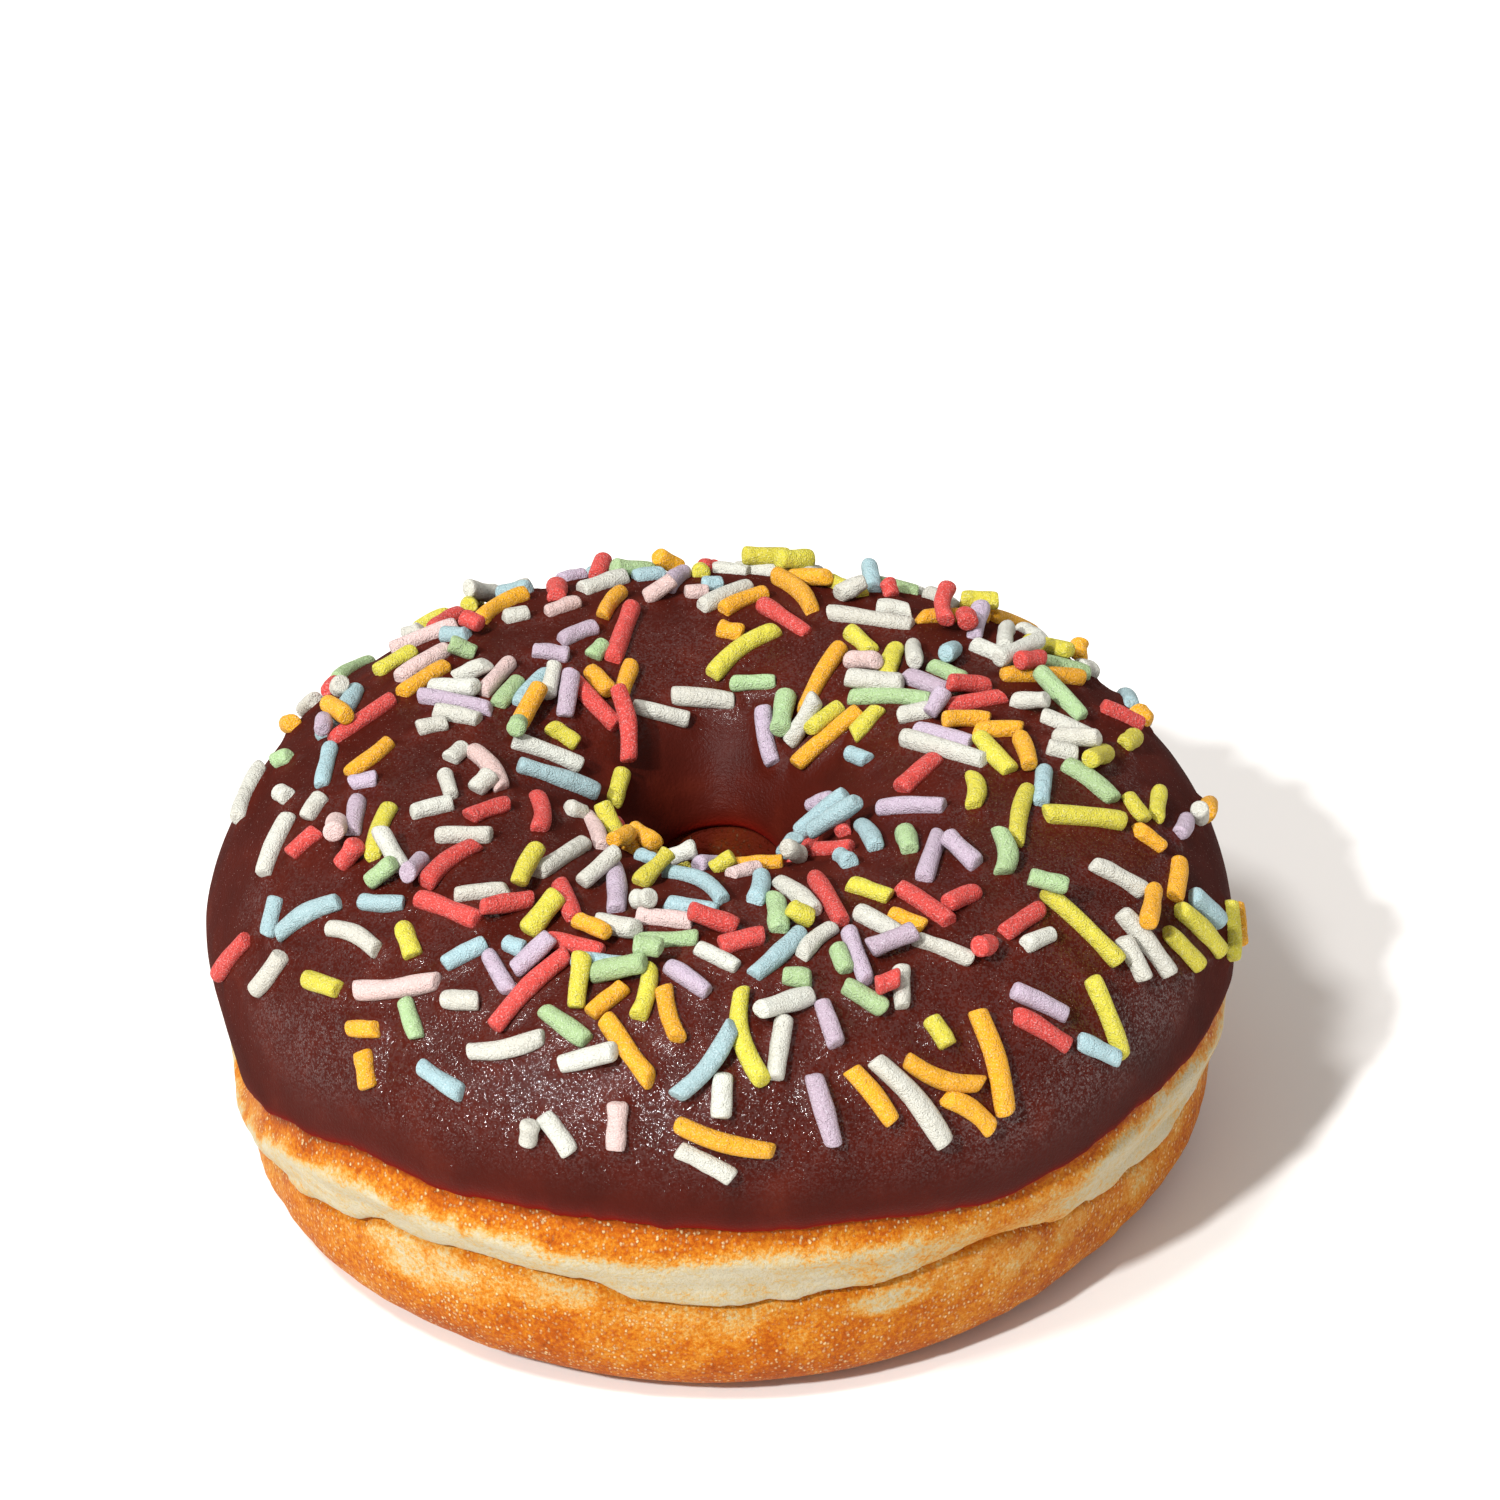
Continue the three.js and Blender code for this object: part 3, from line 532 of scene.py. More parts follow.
def how_stained_and_shaded(points, side, beyond):
    """1 on the wall of the hole, where thin chocolate ran down and stained it, painted darker there for
    the hole's shade, and 0 at its bottom; also a dark red hairline along the frosting's outer edge,
    partly stain and partly painted shade under the edge."""
    r = np.hypot(points[..., 0], points[..., 1])
    height = points[..., 2] + layered_noise(points, STAIN_AND_SHADE_RAGS)
    wall = (1 - ease(r, *STAIN_AND_SHADE_RADII)) * ease(height, *STAIN_AND_SHADE_HEIGHTS)
    wall *= STAIN_AND_SHADE_FULL + layered_noise(points, STAIN_AND_SHADE_MOTTLE)
    hairline = HAIRLINE * np.exp(-np.clip(beyond, 0, FARTHEST) / HAIRLINE_REACH) * side
    return np.clip(wall + hairline, 0, 1)


dough_angles = whole_turn(DOUGH_STEPS_ROUND)
dough_grid = dough_arcs(dough_angles)
dough_turn = np.repeat(dough_angles[:, None], dough_grid.shape[1], axis=1)
dough_points, *dough_facts = dough_surface(dough_grid, dough_turn)
dough_attributes = {
    "frying": how_fried(dough_points, *dough_facts, dough_turn),
    "stain_and_shade": how_stained_and_shaded(dough_points, *dough_facts[3:]),
}
dough = ring_mesh("dough_fried", dough_points, dough_attributes, fried_dough())
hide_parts("dough_ring")
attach(dough, "root")

# ======== How the sprinkles fell ========
# Blunt rods of pressed sugar paste, dropped on the frosting while it was wet. Most lie at the places
# listed; the rest fell by chance, dense on the crown and sparse toward the hole and down the side.
# They come before the frosting, because it wets them and creeps a little way up each.

SPRINKLE_RADIUS = 0.93
SPRINKLE_AXIS_HEIGHT = 0.55
SCATTER_SEED = 20871
DRAW_FACTOR = 48271
DRAW_MODULUS = 2147483647
PLACES_ON_ROD = 7

# Angle, arc, heading (0 lies round the ring, 90 points down the outside), length, colour and, where it
# isn't straight, its bend sideways.
R, O, Y, G, B, L, P, W = "red", "orange", "yellow", "green", "blue", "lilac", "pink", "white"
LAID_SPRINKLES = [
    # The front slope.
    (-162, 53.5, 114, 6.5, R), (-159, 47.5, 44, 4, B), (-154, 44.7, 115, 7, B, -0.5),
    (-153.5, 51, 103, 5, W, 0.3), (-145, 43, 168, 6.5, W, -0.5), (-144.5, 48, 164, 4.5, Y),
    (-134.5, 44.5, 148, 8.5, P, 0.4), (-130, 46.3, 40, 4, G), (-135.5, 49, 156, 3.3, O),
    (-133, 52, 54, 3.5, O), (-116.5, 45.5, 153, 7, W, 0.5), (-123, 50, 11, 5, B, -0.1),
    (-111, 52, 95, 2.5, W), (-108, 51.7, 44, 4.3, W, 0.2), (-101.5, 50.3, 86, 4.3, P),
    (-89.5, 51, 16, 8.8, O, -0.5), (-91.5, 53, 27, 5.5, W, 0.1), (-89.7, 47.2, 94, 4, W),
    (-91.5, 44.5, 128, 8, B, 0.7), (-86.5, 42, 81, 9, Y, -1.2), (-110, 42.5, 23, 5.2, G),
    (-106, 45, 160, 5.3, W), (-101.5, 43.7, 46, 7.3, O, -0.1), (-75.4, 41.4, 86, 4.4, L),
    (-82.4, 43.2, 105, 5.8, W), (-61.5, 44.5, 80, 3, Y), (-56.3, 48.6, 96, 9.5, O, 0.4),
    (-63, 48.3, 32, 7.5, O, -0.9), (-61, 52, 48, 5.5, O, 0.5), (-67.5, 49.6, 62, 10, W, 0.5),
    (-72, 48.4, 62, 6, O, 0.2), (-78, 49, 81, 6.6, L), (-47, 45.7, 50, 5.8, L), (-48.5, 48, 53, 6, R),
    (-43, 51.8, 50, 4.5, B), (-39.4, 50, 97, 7.8, Y), (-34, 42.4, 88, 9.5, Y),
    (-27.6, 47.5, 88, 7.5, W), (-31, 47.6, 101, 4.4, W), (-22.4, 50.7, 71, 5.5, Y),
    (-17, 51.5, 68, 7.5, Y), (-13.4, 51, 68, 5, B), (-9, 56, 150, 6, Y), (-6, 57, 140, 4, O),
    (-25, 45.5, 165, 5, O), (-22.5, 42, 75, 5.6, W, 0.2),
    # The front of the crown.
    (-116.7, 40, 110, 9.5, R, -0.3), (-122, 39.5, 35, 5, L), (-118.5, 37, 118, 4.6, L),
    (-94.7, 36.5, 36, 4.9, L), (-128.5, 39, 120, 4.3, B), (-108.5, 36, 175, 4.6, B),
    (-125, 43, 161, 3.6, W), (-80.8, 39.4, 160, 5.8, W), (-63.8, 39.5, 114, 4.2, W),
    (-54.7, 37.3, 52, 5.5, W), (-41.3, 40.9, 10, 3.4, W), (-137.5, 40.5, 30, 3.8, Y),
    (-110, 38.5, 80, 5, Y), (-100.5, 38.2, 92, 5.4, Y, 0.4), (-136.5, 36, 170, 7, R),
    (-41, 38.7, 0, 5, R), (-66.2, 39.3, 0, 2.4, R), (-50, 39.2, 0, 2.4, R), (-105.5, 39.5, 125, 4.2, O),
    (-96.7, 40, 70, 5.5, O, -0.3), (-105, 36.6, 169, 5.2, G), (-69.5, 39.5, 50, 4.2, G),
    (-78.3, 36.6, 20, 2.6, G), (-119.5, 24.7, 105, 4.8, W), (-95.8, 27.5, 10, 4.8, B),
    (-100.5, 29.5, 2, 5.2, P), (-105, 28.6, 30, 2.4, W), (-91, 30, 2, 4.6, R), (-86, 32, 163, 4.3, R),
    (-98.7, 32.2, 168, 5.4, G, 0.2), (-108.4, 31.6, 8, 4.4, W), (-90.3, 34, 34, 4.4, W),
    (-78.3, 28.5, 99, 5.2, G), (-74.5, 29.8, 20, 2.5, Y), (-72.3, 26, 76, 6.4, W, 0.2),
    (-66.5, 27.2, 96, 8.2, R), (-80.2, 33.7, 137, 7.2, B, 0.3), (-73.3, 32.7, 143, 5, W, -0.3),
    (-70.5, 35.2, 92, 3, G), (-101, 35, 0, 2.6, G), (-111.8, 32.8, 22, 4, O), (-113.8, 34.6, 0, 5.8, R),
    (-120.5, 29.5, 45, 6, R), (-166, 36.7, 20, 5, L), (-160, 35.3, 32, 6.8, Y, -0.3),
    (-157.2, 38.7, 95, 3, R), (-153, 35.6, 5, 5, W), (-149.6, 37.5, 115, 3.2, G),
    (-147, 35, 48, 4.2, L), (-145.2, 32.2, 77, 7, R, -0.5), (-146, 39.2, 145, 4.4, B, 0.2),
    (-134.8, 32.8, 134, 5, W), (-128.4, 33, 117, 5, R), (-121.7, 32.5, 95, 4.8, Y),
    (-131.5, 28.6, 70, 4.8, Y, -0.2), (-132, 24, 81, 8, W, 0.2), (-122.4, 36.5, 0, 2.2, B),
    (-114, 25.5, 63, 8.3, L, 0.3), (-37, 24.2, 137, 3.8, G), (-35.6, 29.7, 103, 4.4, L),
    (-39.5, 27.6, 153, 7.6, L), (-31.8, 32.9, 143, 4.8, G, 0.7), (-34.8, 38, 62, 3.6, G),
    (-45.5, 33.6, 0, 4, R), (-51.3, 32, 83, 6.6, R), (-57.3, 27.8, 64, 4.3, Y), (-56.5, 33, 59, 3.6, O),
    (-61.3, 32, 65, 4.6, W), (-62, 35.3, 5, 4.6, L), (-67.8, 35.2, 97, 6.3, L),
    (-163.5, 38.5, 5, 5, P, 0.3),
    # The rim of the hole, in front.
    (-126, 14.8, 17, 3.8, O), (-128, 17.5, 79, 3.7, O, 0.3), (-107.5, 22.4, 112, 4.6, Y),
    (-95, 23, 47, 8.3, B, 1.1), (-80, 23.8, 106, 5.8, B, 0.3), (-76, 17.5, 15, 4.6, O, -0.3),
    (-82, 19.8, 150, 3.4, P), (-88.5, 18, 0, 2.3, Y), (-105, 15.5, 0, 2.6, W), (-52.5, 21.5, 105, 3, B),
    (-63, 18, 140, 3, W), (-60, 16, 80, 3, B), (-20, 13, 70, 6, B, 0.2), (-37, 19.8, 130, 6.5, B, 0.2),
    (-146, 15, 163, 4.2, Y),
    # The right of the crown.
    (6, 11.5, 122, 3.3, L), (16, 16.3, 155, 3, B), (-6, 21.4, 35, 5.4, R), (-22, 21.8, 88, 6.6, L),
    (3.3, 23.6, 131, 9.5, W, -0.3), (9, 24, 134, 6.2, L), (-1.8, 28.2, 149, 5.6, Y),
    (-14.5, 27, 168, 5, Y, 0.4), (-19.5, 31.8, 170, 8.6, Y, -0.3), (-10, 32.7, 175, 5.7, B),
    (12, 26.3, 88, 4.6, O, 0.4), (7.8, 28.8, 93, 4.6, O), (-0.5, 30.9, 173, 5.6, O, 0.2),
    (24.2, 28.3, 92, 4.4, R, 0.2), (19.3, 27.8, 92, 6, R), (31, 25.6, 158, 4.8, L),
    (31.5, 28, 162, 4.2, G), (36.3, 29.7, 52, 3.8, B), (40.5, 27, 39, 4.8, W),
    (43.5, 25.2, 56, 5, Y, 0.2), (55, 26.2, 24, 4.2, Y), (48, 23.4, 178, 4.2, P, 0.2),
    (58, 30, 164, 8.2, W, -0.2), (56.5, 33, 160, 3.4, W, 0.2), (48.5, 34.7, 50, 5.5, R, 0.5),
    (43, 36, 50, 5.5, L), (33.3, 33.7, 159, 4.6, W), (29, 34.5, 70, 6.5, W),
    (38.5, 37.3, 45, 6, W, 0.2), (33, 39.5, 170, 5.5, Y), (25.5, 34.6, 75, 3.4, R), (18, 36, 160, 7, G),
    (15.5, 32.6, 130, 3.6, W), (9.5, 35.3, 125, 5.2, W), (4, 35.4, 120, 4.6, W), (1.5, 34.3, 100, 3, W),
    (39, 22, 142, 5.5, W), (32.8, 22, 140, 8, G, 0.3), (29.5, 18.7, 75, 3.8, Y),
    (22, 22.8, 110, 3.2, W), (18.5, 24.5, 60, 2.8, L), (-14.5, 37, 62, 8, Y), (-3, 43.5, 5, 5, Y),
    (-14.5, 47, 170, 5.5, O),
    # The far side.
    (113.2, 16, 29, 5.5, W), (95.8, 17, 10, 6, W), (66, 13.4, 62, 5.9, L, 0.3),
    (61.3, 15.7, 68, 5.1, G), (56.2, 20.3, 83, 8.8, O, 0.2), (49.8, 15.5, 102, 5.3, W),
    (37.2, 15.5, 100, 8, O), (42.5, 16.7, 88, 4.2, Y), (112.5, 26.3, 124, 9, R),
    (111, 31.2, 130, 5.3, O, 0.3), (101, 32, 170, 3.3, P), (94, 32.2, 0, 2.3, P), (91, 34, 170, 2.2, B),
    (92.7, 38, 90, 2.2, Y), (88.7, 31.3, 134, 6.5, W), (85, 30.4, 135, 5.5, O, 0.3),
    (75.2, 27.6, 36, 6.8, R), (83.5, 22.6, 130, 8.4, Y, 0.6), (87, 25.2, 20, 2.6, O),
    (78, 18.6, 170, 4.1, G), (75.5, 33, 54, 9, O, -0.5), (75, 36.7, 30, 5, O), (68.3, 36, 30, 5.2, Y),
    (66, 38.8, 60, 5, B), (76, 41, 90, 4.5, W), (83, 40, 170, 4.5, Y), (64, 42, 160, 6, W, 0.4),
    (63, 40.5, 155, 4.5, G), (109, 36.3, 160, 5.5, W), (101, 37.5, 170, 3.2, B),
    (97.5, 39.2, 150, 3, O), (107, 41.5, 120, 3.5, R), (103, 38.8, 165, 4.5, G), (88, 39.6, 20, 3.6, W),
    # The left of the crown.
    (135.4, 19.6, 93, 7.6, R, 0.2), (128.5, 20.8, 98, 3.9, O), (120.6, 20, 134, 4.9, O),
    (142.6, 22.8, 150, 3.8, W), (142.4, 20.8, 144, 4.8, L), (146, 23.8, 172, 6, B, 0.2),
    (151.3, 25.2, 175, 4.7, G), (156, 22.4, 176, 5.2, O), (157, 18.5, 92, 3.2, Y), (169, 22.2, 0, 3, G),
    (169.3, 19, 85, 6.8, W), (-178.5, 17.5, 86, 8.2, B, 0.2), (-175, 24, 159, 6.6, P, -0.5),
    (-167, 25, 60, 2.4, W), (-154, 21, 24, 7, R, 0.5), (-157, 25.6, 74, 4.6, R), (-157, 17, 90, 2.3, W),
    (-150.5, 29.3, 121, 5.2, W), (-168.5, 28, 0, 4, W), (-161.5, 30.2, 88, 4, W),
    (179.5, 26.9, 30, 2.5, W), (169.5, 29.7, 60, 2.8, W), (164.5, 28, 92, 4.6, W),
    (156.3, 29.6, 90, 4.8, W), (160, 28.8, 90, 7.2, L), (149.5, 29.5, 47, 3.4, W),
    (148, 27.3, 172, 6, P), (143.5, 32.5, 60, 2.6, G), (154, 33.3, 18, 6, O), (149, 35, 15, 6.5, P),
    (132, 26.3, 52, 3.6, L), (121.5, 24.5, 150, 2.4, G), (122.5, 27.5, 175, 4.2, L, 0.2),
    (120, 32.5, 175, 3.5, P), (135.5, 15.5, 117, 7.4, R, -0.6), (161, 11.8, 167, 4.6, Y),
]
SCATTERED_COUNT = 92
LONGEST = 8.8
SHORTEST = 2
SHORTNESS_POWER = 1.8
NEAREST_HOLE = 6
FARTHEST_OUT = 57
FULL_FROM = 12
FULL_TO = 40
LAID_SIDE_BY_SIDE = 1.4
SIDE_BY_SIDE = 1.75
RESTING_APART = 1.5
RAISE_STEP = 0.3
RAISE_STEPS = 8
STEEPEST = 0.45
RAISED_SHARE = 0.3

# Where the listed ones are enough: in front from an arc outward, elsewhere from the hole to an arc.
FRONT = (195, 348)
FRONT_LAID_FROM = 18
CROWN_LAID_TO = 33


def draw_from(seed):
    """A repeatable draw between 0 and 1: each state is the last one times a factor, modulo 2^31 - 1."""
    state = seed
    while True:
        state = state * DRAW_FACTOR % DRAW_MODULUS
        yield state / DRAW_MODULUS


def rod_ends(arc, angle, heading, length, start_raise, end_raise):
    """The ends of a rod's axis on the frosting's top, each raised over where it would lie flat, and the
    outward direction. The axis heads partly round the ring and partly down its side."""
    nr, nz = section_normal(arc)
    c, s = math.cos(angle), math.sin(angle)
    outward, around, down = np.array([[nr * c, nr * s, nz], [-s, c, 0], [nz * c, nz * s, -nr]])
    point = on_ring(arc, angle, unevenness(arc, angle))
    along = around * math.cos(heading) + down * math.sin(heading)
    reach = length / 2 - SPRINKLE_RADIUS / 2
    start = point - along * reach + outward * (SPRINKLE_AXIS_HEIGHT + start_raise)
    return start, point + along * reach + outward * (SPRINKLE_AXIS_HEIGHT + end_raise), outward


def staying(arc, angle):
    """The chance that a scattered sprinkle stays: none among those laid, full on the rest of the
    crown, less in the hole and down the side."""
    in_front = FRONT[0] < math.degrees(angle) < FRONT[1]
    among_laid = arc > FRONT_LAID_FROM if in_front else arc < CROWN_LAID_TO
    return 0 if among_laid else ease(arc, 0, FULL_FROM) * (1 - ease(arc, FULL_TO, FARTHEST_OUT))


def closest_passes(start, end, others):
    """The least distance from a few places on one axis to each of the other axes."""
    at = np.linspace(0, 1, PLACES_ON_ROD)
    places = start + at[:, None] * (end - start)
    first, last = others[:, 0], others[:, 1]
    run = last - first
    t = ((places[:, None] - first) * run).sum(-1) / (run * run).sum(-1)
    nearest = first + np.clip(t, 0, 1)[..., None] * run
    return np.linalg.norm(places[:, None] - nearest, axis=-1).min(0)


def come_to_rest(place, axes, side_by_side):
    """A rod stays flat where it is clear of the others. Elsewhere its ends are raised, as little as
    will do, until it rests on them. Gives no answer where it would lie too steep or too high."""
    flat = rod_ends(*place, 0, 0)
    distance = closest_passes(*flat[:2], axes)
    if (distance >= side_by_side).all():
        return (*flat, 0)
    near = axes[distance < side_by_side + 2 * RAISE_STEP * RAISE_STEPS]
    for steps in sorted(np.ndindex(RAISE_STEPS, RAISE_STEPS), key=sum):
        raises = RAISE_STEP * steps[0], RAISE_STEP * steps[1]
        raised = rod_ends(*place, *raises)
        level = abs(raises[0] - raises[1]) <= STEEPEST * place[3]
        if level and closest_passes(*raised[:2], near).min() >= RESTING_APART:
            return (*raised, sum(raises))
    return None


def lay_rods():
    """The longest first: at each length the laid sprinkles, then the scattered ones until the next
    laid one is as long. Each comes to rest on those already there; of the scattered ones, those stay
    away that find no rest, and most of those that would lie on others. The bend and colour of a
    scattered one are left to be drawn."""
    rods, axes = [], np.zeros((0, 2, 3))
    laid = sorted(LAID_SPRINKLES, key=lambda row: -row[3])
    draw = draw_from(SCATTER_SEED)
    scattered = 0
    while laid or scattered < SCATTERED_COUNT:
        length = SHORTEST + (LONGEST - SHORTEST) * (1 - scattered / SCATTERED_COUNT) ** SHORTNESS_POWER
        if laid and laid[0][3] >= length:
            angle, arc, heading, length, colour, *bend = laid.pop(0)
            bend = bend[0] if bend else 0
            place = (arc, math.radians(angle), math.radians(heading), length)
            rest = come_to_rest(place, axes, LAID_SIDE_BY_SIDE) or (*rod_ends(*place, 0, 0), 0)
        else:
            arc = NEAREST_HOLE + (FARTHEST_OUT - NEAREST_HOLE) * next(draw)
            place = (arc, 2 * math.pi * next(draw), math.pi * next(draw), length)
            chance, raised_chance, bend, colour = next(draw), next(draw), None, None
            if chance > section_point(arc)[0] / OUTER_RADIUS * staying(*place[:2]):
                continue
            rest = come_to_rest(place, axes, SIDE_BY_SIDE)
            if rest is None or (rest[3] > 0 and raised_chance > RAISED_SHARE):
                continue
            scattered += 1
        rods.append((*rest, length, bend, colour))
        axes = np.concatenate([axes, [rest[:2]]])
    return rods


*rod_values, rod_named_colours = zip(*lay_rods())
rod_starts, rod_finishes, rod_outwards, rod_raises, rod_lengths, rod_bends = (
    np.array(values, float) for values in rod_values
)

# ======== The chocolate frosting ========
# Melted chocolate frosting that the top of the ring was dipped in. It set to a thin satin skin with a
# soft edge, grainy with fine sugar, and it wetted the sprinkles, whose colour bled a little into it.

FROSTING_STEPS_ROUND = 620
FROSTING_ROWS_OVER = 134
FROSTING_ROWS_UNDER = 12
FROSTING_LUMPS = [(11.0, 0.14, 43), (4.0, 0.05, 43), (1.6, 0.02, 43)]
EDGE_WANDER = [(5, 0.35, 41), (1.8, 0.175, 42), (0.9, 0.1575, 44)]
EDGE_ROUND_ACROSS = 0.8
EDGE_ROUND_DOWN = 0.35
UNDERSIDE_LOWER = 0.15
CREEP_HEIGHT = 0.34
CREEP_REACH = 0.55
CREEP_POWER = 1.5
FAR_FROM_RODS = 99.0
LOOK_ROUND_ROD = 4

# Where the material changes: by the rods, at the edge, and where sugar crystals show, which is from an
# arc on the crown outward and away from the edge.
STAIN_REACH = 0.38
THIN_REACH = 0.5
CRYSTALS_FROM_ARC = (12, 20)
CRYSTALS_FROM_EDGE = (2, 9)


def distance_to_rods(points):
    """How far each point lies outside the nearest rod, on the straight axes, rod by rod."""
    nearest = np.full(points.shape[:-1], FAR_FROM_RODS)
    for start, end in zip(rod_starts, rod_finishes):
        reach = np.linalg.norm(end - start) / 2 + LOOK_ROUND_ROD
        close = (np.abs(points - (start + end) / 2) < reach).all(-1)
        run = end - start
        t = np.clip(((points[close] - start) @ run) / (run @ run), 0, 1)
        gap = np.linalg.norm(points[close] - start - t[:, None] * run, axis=-1) - SPRINKLE_RADIUS
        nearest[close] = np.minimum(nearest[close], gap)
    return np.maximum(nearest, 0)


def frosting_surface():
    """Over the top: the section raised by the unevenness and slow lumps, lowered at its rounded edges,
    and drawn up round every sprinkle. Under it: the dough's bed with a small clearance."""
    angle = whole_turn(FROSTING_STEPS_ROUND)
    hole, outside = frosting_edges(angle)
    rim = np.stack([np.cos(angle), np.sin(angle), 0 * angle], -1) * OUTER_RADIUS
    outside = outside + layered_noise(rim, EDGE_WANDER)
    over = np.linspace(hole, outside, FROSTING_ROWS_OVER).T
    turn = np.repeat(angle[:, None], FROSTING_ROWS_OVER, axis=1)
    inside = np.minimum(over - hole[:, None], outside[:, None] - over)
    rise = unevenness(over, turn) - edge_rounding(inside)
    bare = on_ring(over, turn, rise)
    rise = rise + layered_noise(bare, FROSTING_LUMPS) * ease(inside, 0, EDGE_TAPER)
    edge_round = np.clip(inside / EDGE_ROUND_ACROSS, 0, 1)
    rise = rise - EDGE_ROUND_DOWN * (1 - np.sqrt(1 - (1 - edge_round) ** 2))
    gap = distance_to_rods(bare)
    rise = rise + CREEP_HEIGHT * np.exp(-((gap / CREEP_REACH) ** CREEP_POWER))
    top = on_ring(over, turn, rise)

    under = np.linspace(outside, hole, FROSTING_ROWS_UNDER).T
    turn_under = np.repeat(angle[:, None], FROSTING_ROWS_UNDER, axis=1)
    inside_under = np.minimum(under - hole[:, None], outside[:, None] - under)
    bed = frosting_thickness(inside_under) + edge_rounding(inside_under) + UNDERSIDE_LOWER
    bottom = on_ring(under, turn_under, unevenness(under, turn_under) - bed)
    none = np.zeros(under.shape)
    facts = {
        "stain": (np.exp(-gap / STAIN_REACH), none),
        "thin": (np.exp(-inside / THIN_REACH), none + 1),
        "crystalline": (ease(over, *CRYSTALS_FROM_ARC) * ease(inside, *CRYSTALS_FROM_EDGE), none),
    }
    facts = {key: np.concatenate(halves, axis=1) for key, halves in facts.items()}
    return np.concatenate([top, bottom], axis=1), facts


def chocolate_frosting():
    """Set chocolate frosting: dark red-brown and satin, duller where it is seen aslant, and redder where
    it thins out at the edge or the sprinkles' colour bled. Clear sugar crystals in its skin glitter
    where they happen to face a light: a glassy coat on facets tilted from cell to cell. Pale specks are
    painted in as well, partly sugar and partly painted glints. Real crystals are a few hundredths of a
    millimetre wide, and are drawn as coarse as they need to be to show."""
    material, node, place = start_material("chocolate_frosting_set")
    stain, thin, crystalline = (
        node("Attribute", attribute_name=name).outputs["Fac"]
        for name in ("stain", "thin", "crystalline")
    )
    cloud = node("TexNoise", {"Vector": place, "Scale": per_metre(6), "Detail": 4.0, "Roughness": 0.6})
    body = node("ValToRGB", {"Fac": cloud})
    colour_stops(body, [(0.3, "#3a1009"), (0.55, "#43130b"), (0.75, "#501a0f")])
    faint_stain = node("Math", {0: stain, 1: 0.3}, operation="MULTIPLY")
    stained = node("Mix", {0: faint_stain, 6: body, 7: linear("#5c1a0d")}, data_type="RGBA")
    thinned = node("Mix", {0: thin, 6: stained.outputs[2], 7: linear("#8c1006")}, data_type="RGBA")
    grain = node("TexNoise", {"Vector": place, "Scale": per_metre(0.3), "Roughness": 0.7})
    sugar = node("Bump", {"Strength": 0.45, "Distance": 0.0002, "Height": grain})

    crystals = node("TexVoronoi", {"Vector": place, "Scale": per_metre(0.17)})
    lot = node("SeparateColor", {"Color": crystals.outputs["Color"]})
    # Pale specks: partly sugar, partly painted glints.
    sugar_and_glint_cells = node("MapRange", {"Value": lot, "From Min": 0.88, "From Max": 0.96, "To Max": 0.6})
    small = node(
        "MapRange",
        {"Value": crystals.outputs["Distance"], "From Min": 0.15, "From Max": 0.3,
         "To Min": 1.0, "To Max": 0.0},
    )
    sugar_and_glint_there = node("Math", {0: sugar_and_glint_cells, 1: crystalline}, operation="MULTIPLY")
    sugar_and_glint_speck = node("Math", {0: sugar_and_glint_there, 1: small}, operation="MULTIPLY")
    sugar_and_glint_specked = node("Mix", {0: sugar_and_glint_speck, 6: thinned.outputs[2], 7: linear("#b09088")}, data_type="RGBA")
    either_way = node(
        "VectorMath", {0: crystals.outputs["Color"], 1: (0.5, 0.5, 0.5)}, operation="SUBTRACT"
    )
    tilt = node("VectorMath", {0: either_way, "Scale": 0.5}, operation="SCALE")
    tilted = node("VectorMath", {0: sugar, 1: tilt}, operation="ADD")
    facets = node("VectorMath", {0: tilted}, operation="NORMALIZE")
    aslant = node("LayerWeight", {"Blend": 0.5}).outputs["Facing"]
    rough = node(
        "MapRange", {"Value": aslant, "From Min": 0.3, "From Max": 0.75, "To Min": 0.4, "To Max": 0.95}
    )
    turned_to_eye = node(
        "MapRange", {"Value": aslant, "From Min": 0.2, "From Max": 0.6, "To Min": 1.0, "To Max": 0.0}
    )
    glassy = node("MapRange", {"Value": lot.outputs[1], "From Min": 0.4, "From Max": 0.6})
    glitter = node("Math", {0: glassy, 1: crystalline}, operation="MULTIPLY")
    glitter_seen = node("Math", {0: glitter, 1: turned_to_eye}, operation="MULTIPLY")
    shader = node(
        "BsdfPrincipled",
        {"Base Color": sugar_and_glint_specked.outputs[2], "Roughness": rough, "IOR": 1.35, "Specular IOR Level": 0.12,
         "Normal": sugar, "Coat Weight": glitter_seen, "Coat Roughness": 0.1, "Coat IOR": 1.5,
         "Coat Normal": facets},
    )
    node("OutputMaterial", {"Surface": shader})
    return material


frosting_points, frosting_facts = frosting_surface()
frosting = ring_mesh("frosting_skin", frosting_points, frosting_facts, chocolate_frosting())
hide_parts("chocolate_frosting")
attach(frosting, "root")

# ======== The sprinkles ========
# Sugar and starch paste pressed through a plate, dried and broken into short rods: chalky, a little
# bumpy, slightly bent, with blunt or broken ends. One piece for each colour.

# Each colour's share of those that fell by chance, and the colour.
SPRINKLE_COLOURS = {
    "white": (0.27, "#d2d4ca"), "orange": (0.15, "#eaaa1c"), "yellow": (0.14, "#d2ca42"),
    "red": (0.125, "#d24942"), "lilac": (0.10, "#c0b0c3"), "blue": (0.095, "#a4c4cb"),
    "green": (0.075, "#a8c792"), "pink": (0.055, "#dcc2be"),
}
